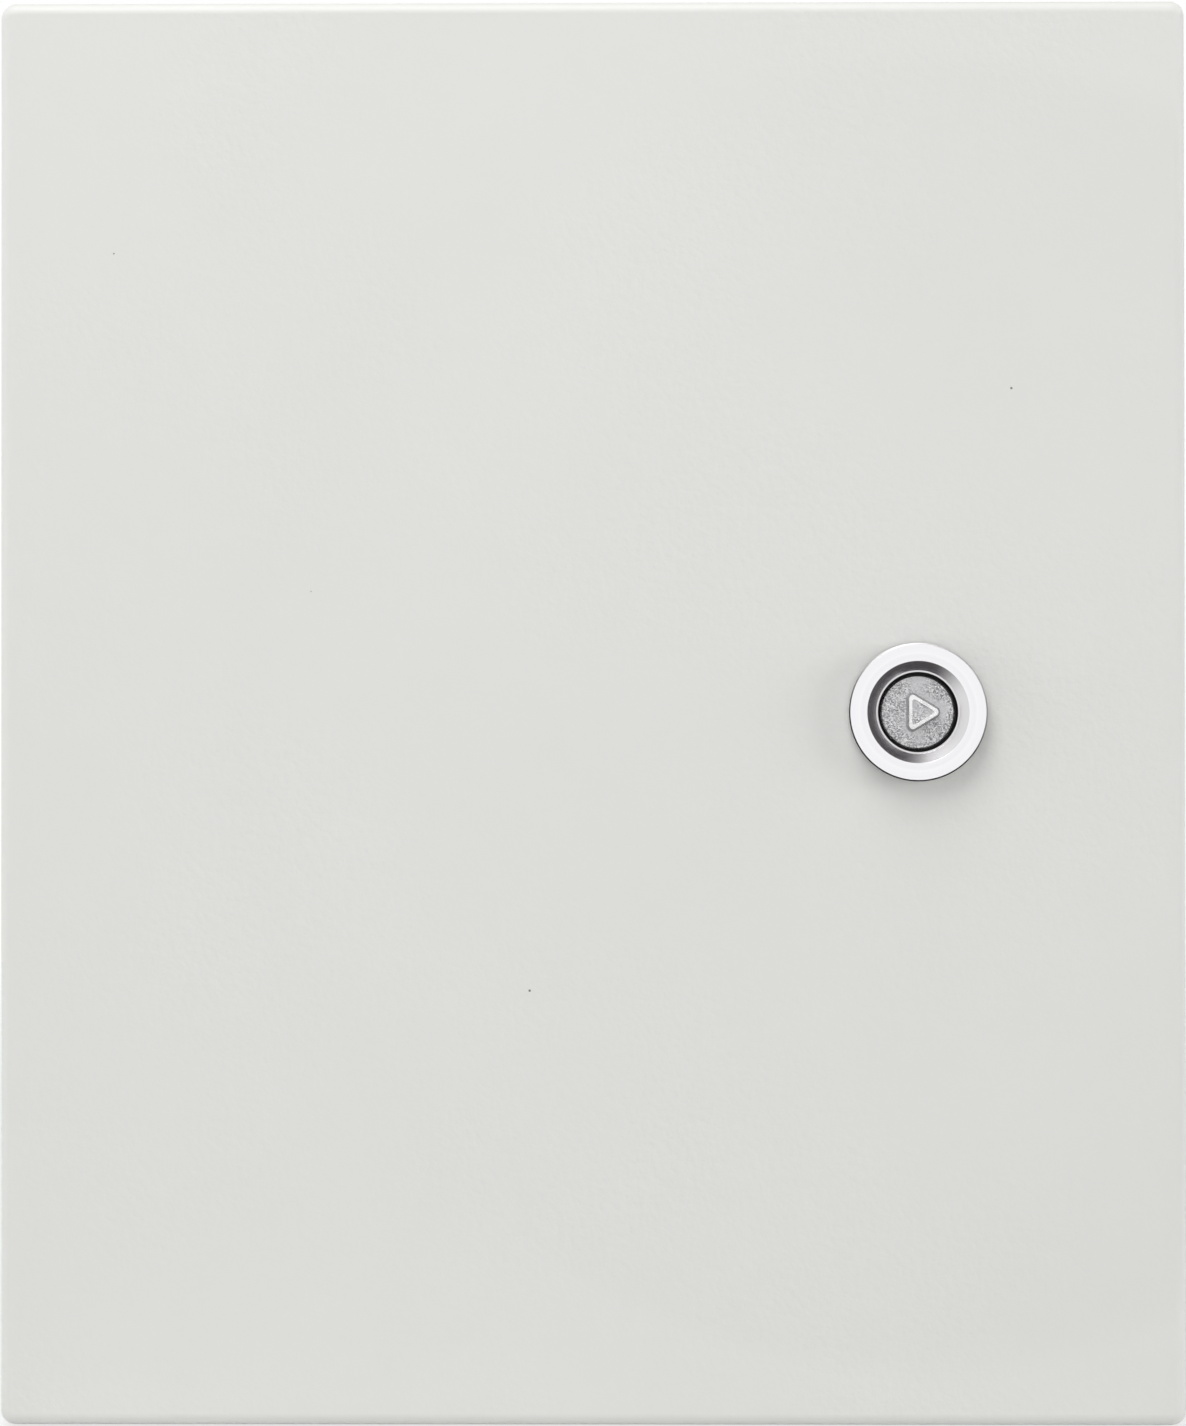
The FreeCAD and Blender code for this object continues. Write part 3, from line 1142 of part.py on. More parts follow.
def gland_outline(sketch, beyond):
    """A rounded rectangle that runs that far beyond the gland cut-out, seen from above."""
    rounded_rectangle(
        sketch,
        f"Sizes.gland_side - {HALF_WIDTH} - {beyond}",
        f"{HALF_WIDTH} - Sizes.gland_side + {beyond}",
        f"Sizes.gland_front - Sizes.depth - {beyond}",
        f"{beyond} - Sizes.gland_rear",
        "Sizes.gland_corner_radius",
    )


def make_gland_plate():
    """The blank plate over the cable cut-out, with its seal, studs and nuts."""
    plate = new_body("gland_plate")
    outline = sketch_on(plate, "XY_Plane", f"{FLOOR} + Sizes.gland_seal_wall")
    gland_outline(outline, "Sizes.gland_overlap")
    at_gland_studs(outline, GLAND_HOLE_RADIUS)
    pad(outline, "Sizes.gland_wall")

    seal = new_body("gland_seal")
    frame = sketch_on(seal, "XY_Plane", FLOOR)
    gland_outline(frame, "Sizes.gland_overlap")
    gland_outline(frame, "Sizes.gland_seal_overlap")
    at_gland_studs(frame, GLAND_HOLE_RADIUS)
    pad(frame, "Sizes.gland_seal_wall")

    studs = new_body("gland_studs")
    feet = sketch_on(studs, "XY_Plane", FLOOR)
    at_gland_studs(feet, "Sizes.gland_stud_radius")
    shanks = pad(feet, "Sizes.gland_stud_length")
    tip = value(f"{FLOOR} + Sizes.gland_stud_length")
    dress(shanks, "Chamfer", lambda point: abs(point.z - tip) < 1e-4, "Sizes.stud_chamfer")

    nuts = new_body("gland_nuts")
    outlines = sketch_on(nuts, "XY_Plane", f"{FLOOR} + {GLAND_NUT_RISE}")
    for side, step in GLAND_STUD_PLACES:
        y = f"{step} * {GLAND_STUD_STEP} - {GLAND_PLACE}"
        hexagon(outlines, f"{side} * {GLAND_STUD_SIDE}", y, "Sizes.gland_nut_across")
    at_gland_studs(outlines, "Sizes.gland_stud_radius + Sizes.thread_play")
    pad(outlines, "Sizes.gland_nut_height")


def make_earth_terminal(owner, role, x, y, foot, direction):
    """A welded stud, a washer and a nut, along the plane's normal or, with -1, against it."""
    bore = "Sizes.earth_stud_radius + Sizes.thread_play"
    backward = direction < 0
    stud = sketch_on(new_body(f"{owner}_earth_stud"), role, foot)
    circle(stud, x, y, "Sizes.earth_stud_radius")
    pad(stud, "Sizes.earth_stud_length", backward)
    washer = sketch_on(new_body(f"{owner}_earth_washer"), role, foot)
    circle(washer, x, y, "Sizes.earth_washer_radius")
    circle(washer, x, y, bore)
    pad(washer, "Sizes.earth_washer_wall", backward)
    nut = sketch_on(new_body(f"{owner}_earth_nut"), role, f"{foot} + {direction} * Sizes.earth_washer_wall")
    hexagon(nut, x, y, "Sizes.earth_nut_across")
    circle(nut, x, y, bore)
    pad(nut, "Sizes.earth_nut_height", backward)


def check_document():
    """Stops if any object failed or any sub-part isn't sound."""
    doc.recompute()
    for item in doc.Objects:
        bad = {"Invalid", "Error"} & set(item.State)
        if bad:
            raise RuntimeError(f"{item.Label} is {bad}")
    for node in NODES:
        if node.Shape.isNull() or not node.Shape.isValid() or not node.Shape.Solids:
            raise RuntimeError(f"{node.Label} has no sound shape")


def make_all():
    """Every sub-part of the enclosure, in the order of its assembly."""
    make_body_wrapper()
    make_rear_pan()
    make_door_panel()
    make_door_gasket()
    for name, sign in (("upper", 1), ("lower", -1)):
        rise = f"{sign} * {HINGE_RISE}"
        make_body_leaf(f"{name}_body_leaf", rise)
        make_door_leaf(f"{name}_door_leaf", rise)
        make_hinge_pin(f"{name}_hinge_pin", rise)
    make_lock_housing()
    make_lock_seal()
    make_lock_washer()
    make_lock_nut()
    make_lock_core()
    make_core_ring()
    make_stop_washer()
    make_cam()
    make_cam_washer()
    make_cam_screw()
    make_mounting_plate()
    make_plate_fixings()
    make_gland_plate()
    body_place = (f"-{BODY_EARTH_LEFT}", f"-{BODY_EARTH_FORWARD}")
    make_earth_terminal("body", "XY_Plane", *body_place, FLOOR, 1)
    door_place = (f"-{DOOR_EARTH_LEFT}", f"-{DOOR_EARTH_DROP}")
    make_earth_terminal("door", "XZ_Plane", *door_place, DOOR_SKIN_FORWARD, -1)


make_all()
check_document()
os.makedirs("parts", exist_ok=True)
for node in NODES:
    node.Shape.exportStep(f"parts/{node.Label}.step")
    print(node.Label, len(node.Shape.Solids), round(node.Shape.Volume, 1))
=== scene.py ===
# %% [markdown]
# # A grey wall enclosure
# The solids of this small steel cabinet come ready made: a folded body, a door on two hinges, a
# quarter-turn lock, and what sits behind the door. They are exact, but bare. This lesson gives each
# sheet, casting and screw the finish that it has in a workshop. It also makes the few pieces that a
# plain solid can't show: the foam bead, the threads on the studs and the split in a spring washer.

# %% Load the frame
import json
import math

import bpy
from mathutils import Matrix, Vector


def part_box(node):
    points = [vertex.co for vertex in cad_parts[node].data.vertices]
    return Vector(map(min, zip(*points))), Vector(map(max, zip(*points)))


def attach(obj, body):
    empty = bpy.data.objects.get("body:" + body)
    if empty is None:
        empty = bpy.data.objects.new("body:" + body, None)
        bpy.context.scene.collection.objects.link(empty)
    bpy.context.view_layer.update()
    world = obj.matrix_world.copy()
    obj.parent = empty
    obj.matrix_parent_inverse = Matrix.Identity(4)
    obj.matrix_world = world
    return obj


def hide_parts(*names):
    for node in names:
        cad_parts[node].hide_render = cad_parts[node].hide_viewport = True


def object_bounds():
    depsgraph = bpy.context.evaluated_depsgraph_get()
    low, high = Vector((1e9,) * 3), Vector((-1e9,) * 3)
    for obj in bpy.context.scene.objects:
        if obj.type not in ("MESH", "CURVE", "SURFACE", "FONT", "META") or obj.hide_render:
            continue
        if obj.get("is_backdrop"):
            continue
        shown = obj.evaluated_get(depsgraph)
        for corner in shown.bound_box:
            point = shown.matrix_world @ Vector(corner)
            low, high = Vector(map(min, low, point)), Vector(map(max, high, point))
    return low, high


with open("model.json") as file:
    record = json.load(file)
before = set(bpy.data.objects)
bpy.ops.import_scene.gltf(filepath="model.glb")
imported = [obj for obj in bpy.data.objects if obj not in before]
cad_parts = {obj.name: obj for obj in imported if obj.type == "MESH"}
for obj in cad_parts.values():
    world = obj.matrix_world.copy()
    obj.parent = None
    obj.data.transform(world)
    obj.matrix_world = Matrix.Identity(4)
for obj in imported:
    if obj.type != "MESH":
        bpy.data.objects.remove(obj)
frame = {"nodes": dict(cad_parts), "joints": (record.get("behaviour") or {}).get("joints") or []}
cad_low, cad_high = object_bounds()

MM = 0.001
nodes = frame["nodes"]
print("pieces from the frame:", len(nodes))
print("size in mm:", [round(side / MM, 1) for side in cad_high - cad_low])

# %% [markdown]
# ## Where things are
# Many later steps need a few places: the lock's axis, the door's face and the face of the lock's
# head. They could be typed in, but then they would go stale when the solids change. So they are read
# from the joints and from the boxes of the solids.

# %% The lock's axis
joints = {joint["name"]: joint for joint in frame["joints"]}
LOCK_AXIS = Vector(joints["lock_turn"]["pos_m"])
print("lock axis:", LOCK_AXIS)


# %% The middle of a solid, and two faces
def middle(name):
    """The centre of a solid's box."""
    low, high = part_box(name)
    return (low + high) / 2


DOOR_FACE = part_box("door_panel")[0].y
LOCK_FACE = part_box("lock_housing")[0].y
print("door face at", round(DOOR_FACE / MM, 2), "mm, lock face at", round(LOCK_FACE / MM, 2), "mm")

# %% [markdown]
# ## Writing a finish as sums
# A finish in Blender is a tree of small nodes, and a wavy height or a speck mask is really a sum of
# numbers that change over the surface. Clicking such sums together hides what they say. So one small
# class stands for a socket and gives it Python's operators: each `+` or `*` adds the Math node that
# does it. Another class holds the tree and adds any other node by name.


# %% A number that changes over the surface
class Value:
    """An output socket of a finish, which can be added, multiplied and compared."""

    def __init__(self, wiring, socket):
        self.wiring, self.socket = wiring, socket

    def maths(self, operation, first, second=0.0):
        return self.wiring.node("ShaderNodeMath", {"operation": operation}, {0: first, 1: second})

    def __add__(self, other):
        return self.maths("ADD", self, other)

    def __sub__(self, other):
        return self.maths("SUBTRACT", self, other)

    def __rsub__(self, other):
        return self.maths("SUBTRACT", other, self)

    def __mul__(self, other):
        return self.maths("MULTIPLY", self, other)

    __radd__ = __add__
    __rmul__ = __mul__

    def root(self):
        return self.maths("SQRT", self)

    def over(self, limit):
        """1 where the number is over the limit, and 0 elsewhere."""
        return self.maths("GREATER_THAN", self, limit)

    def under(self, limit):
        """1 where the number is under the limit, and 0 elsewhere."""
        return self.maths("LESS_THAN", self, limit)

    def fade(self, low, high):
        """Rises smoothly from 0 at low to 1 at high."""
        settings = {"interpolation_type": "SMOOTHSTEP"}
        return self.wiring.node("ShaderNodeMapRange", settings, {0: self, 1: low, 2: high})


# %% A tree of nodes
class Wiring:
    """Adds nodes to one tree, and joins them."""

    def __init__(self, tree):
        self.tree = tree
        tree.nodes.clear()

    def feed(self, socket, value):
        """Sets a socket to a number or a colour, or links a value to it."""
        if isinstance(value, Value):
            self.tree.links.new(value.socket, socket)
        else:
            socket.default_value = value

    def node(self, kind, settings=None, sockets=None, output=0):
        """Adds one node: its settings first, then its sockets. Gives one of its outputs, if any."""
        made = self.tree.nodes.new(kind)
        for name, setting in (settings or {}).items():
            setattr(made, name, setting)
        for name, value in (sockets or {}).items():
            self.feed(made.inputs[name], value)
        return Value(self, made.outputs[output]) if made.outputs else None

    def place(self, centre=(0, 0, 0)):
        """The point on the surface, in metres, measured from a centre."""
        point = self.node("ShaderNodeTexCoord", output="Object")
        shift = tuple(-part for part in centre)
        return self.node("ShaderNodeMapping", None, {"Vector": point, "Location": shift})

    def parts(self, point):
        """A point's three coordinates as numbers."""
        first = self.node("ShaderNodeSeparateXYZ", None, {0: point})
        return [Value(self, first.socket.node.outputs[number]) for number in range(3)]

    def noise(self, point, size, detail=2.0, rough=0.5):
        """Soft lumps of about the given size in metres, from 0 to 1."""
        sockets = {"Vector": point, "Scale": 1 / size, "Detail": detail, "Roughness": rough}
        return self.node("ShaderNodeTexNoise", None, sockets)

    def cells(self, point, size, output="Distance"):
        """Cells of about the given size: the distance from their middles, or a tone for each."""
        return self.node("ShaderNodeTexVoronoi", None, {"Vector": point, "Scale": 1 / size}, output)

    def mix(self, share, first, second):
        """Goes from the first colour to the second as the share goes from 0 to 1."""
        sockets = {0: share, 6: first, 7: second}
        return self.node("ShaderNodeMix", {"data_type": "RGBA"}, sockets, output=2)


print("ways to add nodes:", [name for name in vars(Wiring) if not name.startswith("__")])

# %% [markdown]
# ## From a tree to a finish
# All the finishes here are one surface shader with different numbers: paint, plated steel, rubber.
# The shader's fixed numbers are set on its own sockets, and only colour, roughness and the normal
# are fed by patterns. A folded sheet never has a razor edge: paint and plating round it by a few
# tenths of a millimetre. Bevelling every edge of every solid would be slow, so the finish rounds the
# light on the edges instead, with a Bevel node under the Bump node.


# %% A finish
class Finish(Wiring):
    """One material: a surface shader, and the nodes that feed it."""

    def __init__(self, name, **constants):
        self.material = bpy.data.materials.new(name)
        self.material.use_nodes = True
        super().__init__(self.material.node_tree)
        surface = self.node("ShaderNodeBsdfPrincipled")
        self.surface = surface.socket.node
        self.node("ShaderNodeOutputMaterial", None, {"Surface": surface})
        for socket, number in constants.items():
            self.surface.inputs[socket.replace("_", " ")].default_value = number

    def paint(self, **varying):
        """Feeds what changes over the surface to the shader."""
        for socket, value in varying.items():
            self.feed(self.surface.inputs[socket.replace("_", " ")], value)

    def relief(self, height, depth, edge=0.0):
        """A bump of the given depth in metres, over edges whose light is rounded by a radius."""
        sockets = {"Height": height, "Distance": depth, "Strength": 1.0}
        if edge:
            sockets["Normal"] = self.node("ShaderNodeBevel", {"samples": 4}, {"Radius": edge})
        return self.node("ShaderNodeBump", None, sockets)


finishes = {}

# %% [markdown]
# ## The powder coat
# The body and door are sprayed with a dry grey powder and baked. It melts into a skin with a fine
# orange-peel: ripples a millimetre or two long and a few hundredths high, with a finer grain on top,
# both stronger in some places than in others. The colour hardly changes, but no sprayed sheet is
# quite even, and a few specks of dust are always baked in. Two noises make the ripples and a wide
# third one scales them, and thinly sown cells make the specks.

# %% The ripples and the grain
powder = Finish("powder_coat_light_grey", IOR=1.5)
spot = powder.place()
ripples = powder.noise(spot, 1.7 * MM, detail=1.5)
grain = powder.noise(spot, 0.45 * MM, detail=1.0)
patches = powder.noise(spot, 60 * MM, detail=1.0)
CALMEST, LIVELIEST = 0.35, 1.85
liveliness = CALMEST + (LIVELIEST - CALMEST) * patches.fade(0.35, 0.75)
height = (ripples + 0.22 * grain) * liveliness

# %% The tone and the specks
clouds = powder.noise(spot, 70 * MM, detail=3.0, rough=0.6)
tone = powder.mix(clouds, (0.700, 0.703, 0.678, 1), (0.720, 0.720, 0.700, 1))
SPECK_APART, SPECK_SHARE = 20 * MM, 0.014
dust = powder.cells(spot, SPECK_APART).under(SPECK_SHARE)
powder.paint(
    Base_Color=powder.mix(dust * 0.85, tone, (0.09, 0.085, 0.08, 1)),
    Roughness=0.40 + 0.10 * ripples,
    Normal=powder.relief(height, 0.07 * MM),
)
finishes["powder_coat"] = powder
print("powder coat nodes:", len(powder.tree.nodes))

# %% [markdown]
# ## The lock's bright ring
# The housing is die-cast, turned and plated. The turning leaves rings round the axis that are too
# fine to feel but draw the light into faint circles. Rings depend on one number only, the distance
# from the lock's axis, so noise is read along that distance instead of over the surface. The dish is
# a little duller than the face. The rim's edge is rougher, and a painted shade on it darkens its
# colour
# from the upper right to nearly black at the lower left. The bore round the core is never polished:
# it keeps a rougher casting skin, and a painted shade makes its colour nearly black.

# %% The distance from the lock's axis, and the mouth of the bore
bright = Finish("turned_bright_plate", Metallic=1.0)
across, along, up = bright.parts(bright.place(LOCK_AXIS))
radius = (across * across + up * up).root()
line = bright.node("ShaderNodeCombineXYZ", None, {0: radius})
BORE_RADIUS = 8.45 * MM
BORE_MOUTH = LOCK_FACE + 1.75 * MM

# %% Turning rings over the plate
rings = bright.noise(line, 0.16 * MM, detail=2.0, rough=0.6)
wide_rings = bright.noise(line, 1.1 * MM, detail=1.0)
smudge = bright.noise(bright.place(), 9 * MM, detail=3.0)
plate = bright.mix(wide_rings, (0.84, 0.83, 0.86, 1), (0.97, 0.96, 0.97, 1))

# %% Where the dish, the rim and the bore are
DISH_RADIUS = 10.72 * MM
DISH_MOUTH = LOCK_FACE + 0.03 * MM
RIM_RADIUS = 14.22 * MM
RIM_BACK = LOCK_FACE + 0.5 * MM
dish = radius.under(DISH_RADIUS) * along.over(DISH_MOUTH - LOCK_AXIS.y)
rim = radius.over(RIM_RADIUS) * along.under(RIM_BACK - LOCK_AXIS.y)
bore = radius.under(BORE_RADIUS) * along.over(BORE_MOUTH - LOCK_AXIS.y)

# %% A duller dish, a painted shade on the rim, and a painted shade in the bore
# painted shade on the rim: its colour goes nearly black toward this side, the lower left
SHADED_RIM_SIDE = math.radians(245)
toward_shaded_side = (across * math.cos(SHADED_RIM_SIDE) + up * math.sin(SHADED_RIM_SIDE)) * (1 / RIM_RADIUS)
painted_rim_shade = bright.mix(toward_shaded_side.fade(-1.0, 0.6), (0.80, 0.79, 0.80, 1), (0.02, 0.02, 0.02, 1))
dulled = bright.mix(dish, plate, (0.72, 0.71, 0.72, 1))
dulled = bright.mix(rim, dulled, painted_rim_shade)
bright.paint(
    # painted shade: the bore, deep in the gap round the core, is painted nearly black
    Base_Color=bright.mix(bore, dulled, (0.09, 0.085, 0.085, 1)),
    Roughness=0.08 + 0.10 * rings + 0.05 * smudge + 0.06 * dish + 0.3 * rim + 0.3 * bore,
    Normal=bright.relief(rings, 0.006 * MM, edge=0.1 * MM),
)
finishes["chrome"] = bright
print("turned plate nodes:", len(bright.tree.nodes))

# %% [markdown]
# ## The cast core
# The turning core keeps its casting skin: a frosty surface of grains a few tenths of a millimetre
# wide that sparkle, each at its own angle, but fainter where the skin is worn. The key rubs the rim
# of the triangle bright. Cells give each grain its own tone and gloss, one noise gives the lumpy
# skin and a wider one the worn patches, and the height above the core's face tells the rubbed rim
# from the rest.

# %% Frosty grains
cast = Finish("cast_zinc_skin", Metallic=1.0)
spot = cast.place()
skin = cast.noise(spot, 0.40 * MM, detail=4.0, rough=0.7)
facets = cast.node("ShaderNodeSeparateColor", None, {0: cast.cells(spot, 0.22 * MM, "Color")})
worn = cast.noise(spot, 5.5 * MM, detail=1.0).fade(0.40, 0.62)
WORN_TONE, WORN_SHARE = 0.42, 0.8
facets = facets * (1 - WORN_SHARE * worn) + WORN_TONE * worn
_, depth_in, _ = cast.parts(spot)

# %% The rubbed rim of the triangle
core_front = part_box("lock_core")[0].y
RUBBED_DEPTH = 0.12 * MM
rubbed = depth_in.under(core_front + RUBBED_DEPTH)
dull = cast.mix(facets, (0.16, 0.16, 0.17, 1), (0.90, 0.89, 0.90, 1))
cast.paint(
    Base_Color=cast.mix(rubbed, dull, (0.88, 0.88, 0.88, 1)),
    Roughness=(0.28 + 0.26 * facets) * (1 - 0.45 * rubbed),
    Normal=cast.relief((skin + 0.8 * facets) * (1 - 0.6 * worn), 0.08 * MM, edge=0.15 * MM),
)
finishes["cast_zinc"] = cast
print("rubbed rim: front", round(core_front / MM, 2), "mm")

# %% [markdown]
# ## Zinc plate
# Hinges, nuts, washers, studs and the cam are plated with zinc. It is bright but hazy, a little
# blue, and it stains in soft clouds. The haze is a roughness that drifts, and the stain mixes two
# near greys.

# %% Hazy zinc
zinc = Finish("hazy_zinc_plate", Metallic=1.0)
spot = zinc.place()
haze = zinc.noise(spot, 4 * MM, detail=4.0, rough=0.6)
scuffs = zinc.noise(spot, 0.3 * MM, detail=2.0)
zinc.paint(
    Base_Color=zinc.mix(haze, (0.54, 0.57, 0.61, 1), (0.70, 0.70, 0.69, 1)),
    Roughness=0.26 + 0.20 * haze + 0.06 * scuffs,
    Normal=zinc.relief(scuffs, 0.006 * MM, edge=0.25 * MM),
)
finishes["zinc_plated_steel"] = zinc
print("zinc plate nodes:", len(zinc.tree.nodes))

# %% [markdown]
# ## Galvanised sheet
# The mounting plate and the gland plate are cut from hot-dipped sheet. As the zinc freezes it grows
# crystals a few millimetres wide, each a slightly different grey: the spangle. Cells with one tone
# each are that pattern, with noise bending their borders so that they don't look like tiles.

# %% Spangle
galvanised = Finish("spangled_galvanised_sheet", Metallic=1.0)
spot = galvanised.place()
sway = galvanised.node(
    "ShaderNodeVectorMath",
    {"operation": "MULTIPLY_ADD"},
    {
        0: galvanised.node("ShaderNodeTexNoise", None, {"Vector": spot, "Scale": 260.0}, "Color"),
        1: (2.4 * MM, 2.4 * MM, 2.4 * MM),
        2: spot,
    },
)
spangle = galvanised.node(
    "ShaderNodeSeparateColor", None, {0: galvanised.cells(sway, 7.5 * MM, "Color")}
)
frost = galvanised.noise(spot, 0.8 * MM, detail=3.0)
galvanised.paint(
    Base_Color=galvanised.mix(spangle, (0.50, 0.52, 0.54, 1), (0.66, 0.675, 0.69, 1)),
    Roughness=0.36 + 0.16 * spangle + 0.08 * frost,
    Normal=galvanised.relief(frost, 0.008 * MM, edge=0.25 * MM),
)
finishes["galvanised_sheet"] = galvanised
print("galvanised sheet nodes:", len(galvanised.tree.nodes))

# %% [markdown]
# ## Foam and rubber
# The door's bead is poured foam with a matt skin and a scatter of pinholes. The seals are moulded
# rubber, smoother and a little shiny, with a bloom of dust. Both are nearly black, so the colour
# says little and the roughness does the work.

# %% Foam with pinholes
foam = Finish("poured_foam_skin", IOR=1.45)
spot = foam.place()
swell = foam.noise(spot, 5 * MM, detail=3.0)
pinholes = foam.cells(spot, 1.3 * MM).under(0.16)
pores = foam.noise(spot, 0.35 * MM, detail=2.0)
foam.paint(
    Base_Color=foam.mix(swell, (0.035, 0.035, 0.038, 1), (0.060, 0.060, 0.064, 1)),
    Roughness=0.72 + 0.16 * pores,
    Normal=foam.relief(pores + 2.0 * swell - 1.5 * pinholes, 0.06 * MM),
)
finishes["gasket_foam"] = foam
print("foam nodes:", len(foam.tree.nodes))

# %% Moulded rubber
rubber = Finish("moulded_black_rubber", IOR=1.5)
spot = rubber.place()
bloom = rubber.noise(spot, 6 * MM, detail=4.0)
skin = rubber.noise(spot, 0.4 * MM, detail=2.0)
rubber.paint(
    Base_Color=rubber.mix(bloom, (0.022, 0.022, 0.022, 1), (0.050, 0.049, 0.048, 1)),
    Roughness=0.52 + 0.22 * bloom,
    Normal=rubber.relief(skin, 0.01 * MM, edge=0.2 * MM),
)
finishes["seal_rubber"] = rubber
print("rubber nodes:", len(rubber.tree.nodes))

# %% [markdown]
# ## Dressing the solids
# Each solid comes with the name of the finish that the order asks for. A solid whose shape is right
# keeps it and only changes its material, so nothing can drift from where it was made.

# %% Give each solid its finish
for name, piece in nodes.items():
    for holder in piece.material_slots:
        holder.material = finishes[holder.material.name].material
print("dressed:", len(nodes), "solids in", len(finishes), "finishes")

# %% [markdown]
# ## Working with the operators
# The new pieces are shaped as by hand, in edit mode. An operator acts on all that is selected, so
# the first two helpers select: one leaves a single piece selected, the other picks faces by where
# they are. The rest bring a piece to its finished state: its place in its mesh, its shading, and its
# body and finish.


# %% Selecting pieces and faces
def only(piece):
    """Selects one piece and no other."""
    bpy.ops.object.select_all(action="DESELECT")
    piece.select_set(True)
    bpy.context.view_layer.objects.active = piece


def pick_faces(piece, wanted):
    """In edit mode, selects the faces for which wanted(centre, normal) holds."""
    bpy.ops.mesh.select_mode(type="FACE")
    bpy.ops.mesh.select_all(action="DESELECT")
    bpy.ops.object.mode_set(mode="OBJECT")
    for face in piece.data.polygons:
        face.select = wanted(face.center, face.normal)
    bpy.ops.object.mode_set(mode="EDIT")


# %% Finishing a piece
DOUBLES = 0.002 * MM


def settle(piece):
    """Puts a piece's place into its mesh, merges its doubles and points its faces outwards."""
    bpy.ops.object.mode_set(mode="OBJECT")
    only(piece)
    bpy.ops.object.transform_apply(location=True, rotation=True, scale=True)
    bpy.ops.object.mode_set(mode="EDIT")
    bpy.ops.mesh.select_all(action="SELECT")
    bpy.ops.mesh.remove_doubles(threshold=DOUBLES)
    bpy.ops.mesh.normals_make_consistent(inside=False)
    bpy.ops.object.mode_set(mode="OBJECT")


def smooth(piece, degrees):
    """Shades a piece round, except at edges sharper than the angle."""
    only(piece)
    bpy.ops.object.shade_smooth_by_angle(angle=math.radians(degrees))


def hand_over(piece, body, finish, *solids):
    """Gives a piece its finish, its body and the solids that it stands for."""
    piece.data.materials.clear()
    piece.data.materials.append(finishes[finish].material)
    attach(piece, body)
    if solids:
        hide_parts(*solids)
    print(piece.name, "rides on", body, "with", len(piece.data.polygons), "faces")


# %% [markdown]
# ## The foam bead
# A nozzle lays the foam on the door's inside in one closed loop, where it rises into a soft crown.
# The edge of the body's lip has pressed its own line into it. The solid for it is a square bar with
# a groove, and a real bead is rounder. It could be swept along a curve, but a loop of insets is
# simpler and always closes: one face with round corners is inset step by step, and each step rises
# or falls a little. The lip's line is made the same way and cut out of the bead.


# %% A closed loop from insets
CORNER_STEPS = 10


def loop(name, half_width, half_height, corner, base, steps):
    """A closed ring that lies on the plane y = base, outermost first: each step is (in, rise)."""
    bpy.ops.mesh.primitive_plane_add(
        size=2, location=(0, base, 0), rotation=(-math.pi / 2, 0, 0)
    )
    ring = bpy.context.object
    ring.name = name
    ring.scale = (half_width, half_height, 1)
    bpy.ops.object.transform_apply(location=True, rotation=True, scale=True)
    bpy.ops.object.mode_set(mode="EDIT")
    bpy.ops.mesh.select_all(action="SELECT")
    bpy.ops.mesh.bevel(affect="VERTICES", offset=corner, segments=CORNER_STEPS, profile=0.5)
    bpy.ops.mesh.extrude_region_move(TRANSFORM_OT_translate={"value": (0, steps[0][1], 0)})
    for (inner, low), (outer, high) in zip(steps, steps[1:]):
        bpy.ops.mesh.inset(thickness=outer - inner, depth=high - low, use_even_offset=True)
    open_hole(ring, base, steps[-1][1])
    settle(ring)
    return ring


# %% Opening the hole in the loop
NEAR = 0.01 * MM


def open_hole(ring, base, rise):
    """Sinks the last face to the base, and joins its rim to the outer one underneath."""
    bpy.ops.mesh.inset(thickness=DOUBLES / 2, depth=-rise)
    pick_faces(ring, lambda centre, normal: abs(centre.y - base) < NEAR)
    bpy.ops.mesh.delete(type="ONLY_FACE")
    bpy.ops.mesh.select_mode(type="EDGE")
    bpy.ops.mesh.select_all(action="DESELECT")
    bpy.ops.mesh.select_non_manifold()
    bpy.ops.mesh.bridge_edge_loops()


# %% The bead's crown
bead_low, bead_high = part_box("door_gasket")
BEAD_WIDTH = 9 * MM
BEAD_CORNER = 12.5 * MM
BEAD_RISE = bead_high.y - bead_low.y
# each pair is how far in from the side, in millimetres, and the share of the rise reached there
crown = [
    (0.0, 0.36), (0.15, 0.55), (0.55, 0.74), (1.2, 0.88), (2.1, 0.96), (3.2, 0.995), (4.5, 1.0),
]
profile = [(inwards * MM, share * BEAD_RISE) for inwards, share in crown]
profile += [(BEAD_WIDTH - inwards, rise) for inwards, rise in reversed(profile[:-1])]
bead = loop("foam_bead", bead_high.x, bead_high.z, BEAD_CORNER, bead_low.y, profile)
print("bead rises", round(BEAD_RISE / MM, 2), "mm")

# %% The lip's line in the bead
PRINT_GAP = 0.32 * MM
HALF_PRINT = 0.95 * MM
PRINT_CORNER = 4.4 * MM
CUTTER_RISE = 3 * MM
lip_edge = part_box("body_wrapper")[0].y
print_floor = lip_edge - PRINT_GAP - bead_low.y
line_x, line_z = bead_high.x - BEAD_WIDTH / 2, bead_high.z - BEAD_WIDTH / 2
lip_print = loop(
    "lip_print", line_x + HALF_PRINT, line_z + HALF_PRINT, PRINT_CORNER + HALF_PRINT,
    bead_low.y + print_floor, [(0.0, CUTTER_RISE), (2 * HALF_PRINT, CUTTER_RISE)],
)
print("line printed", round((bead_high.y - bead_low.y - print_floor) / MM, 2), "mm deep")

# %% Cut the line
only(bead)
cut = bead.modifiers.new("lip_line", "BOOLEAN")
cut.object = lip_print
bpy.ops.object.modifier_apply(modifier="lip_line")
bpy.data.objects.remove(lip_print)
settle(bead)
smooth(bead, 50)
hand_over(bead, "door", "gasket_foam", "door_gasket")

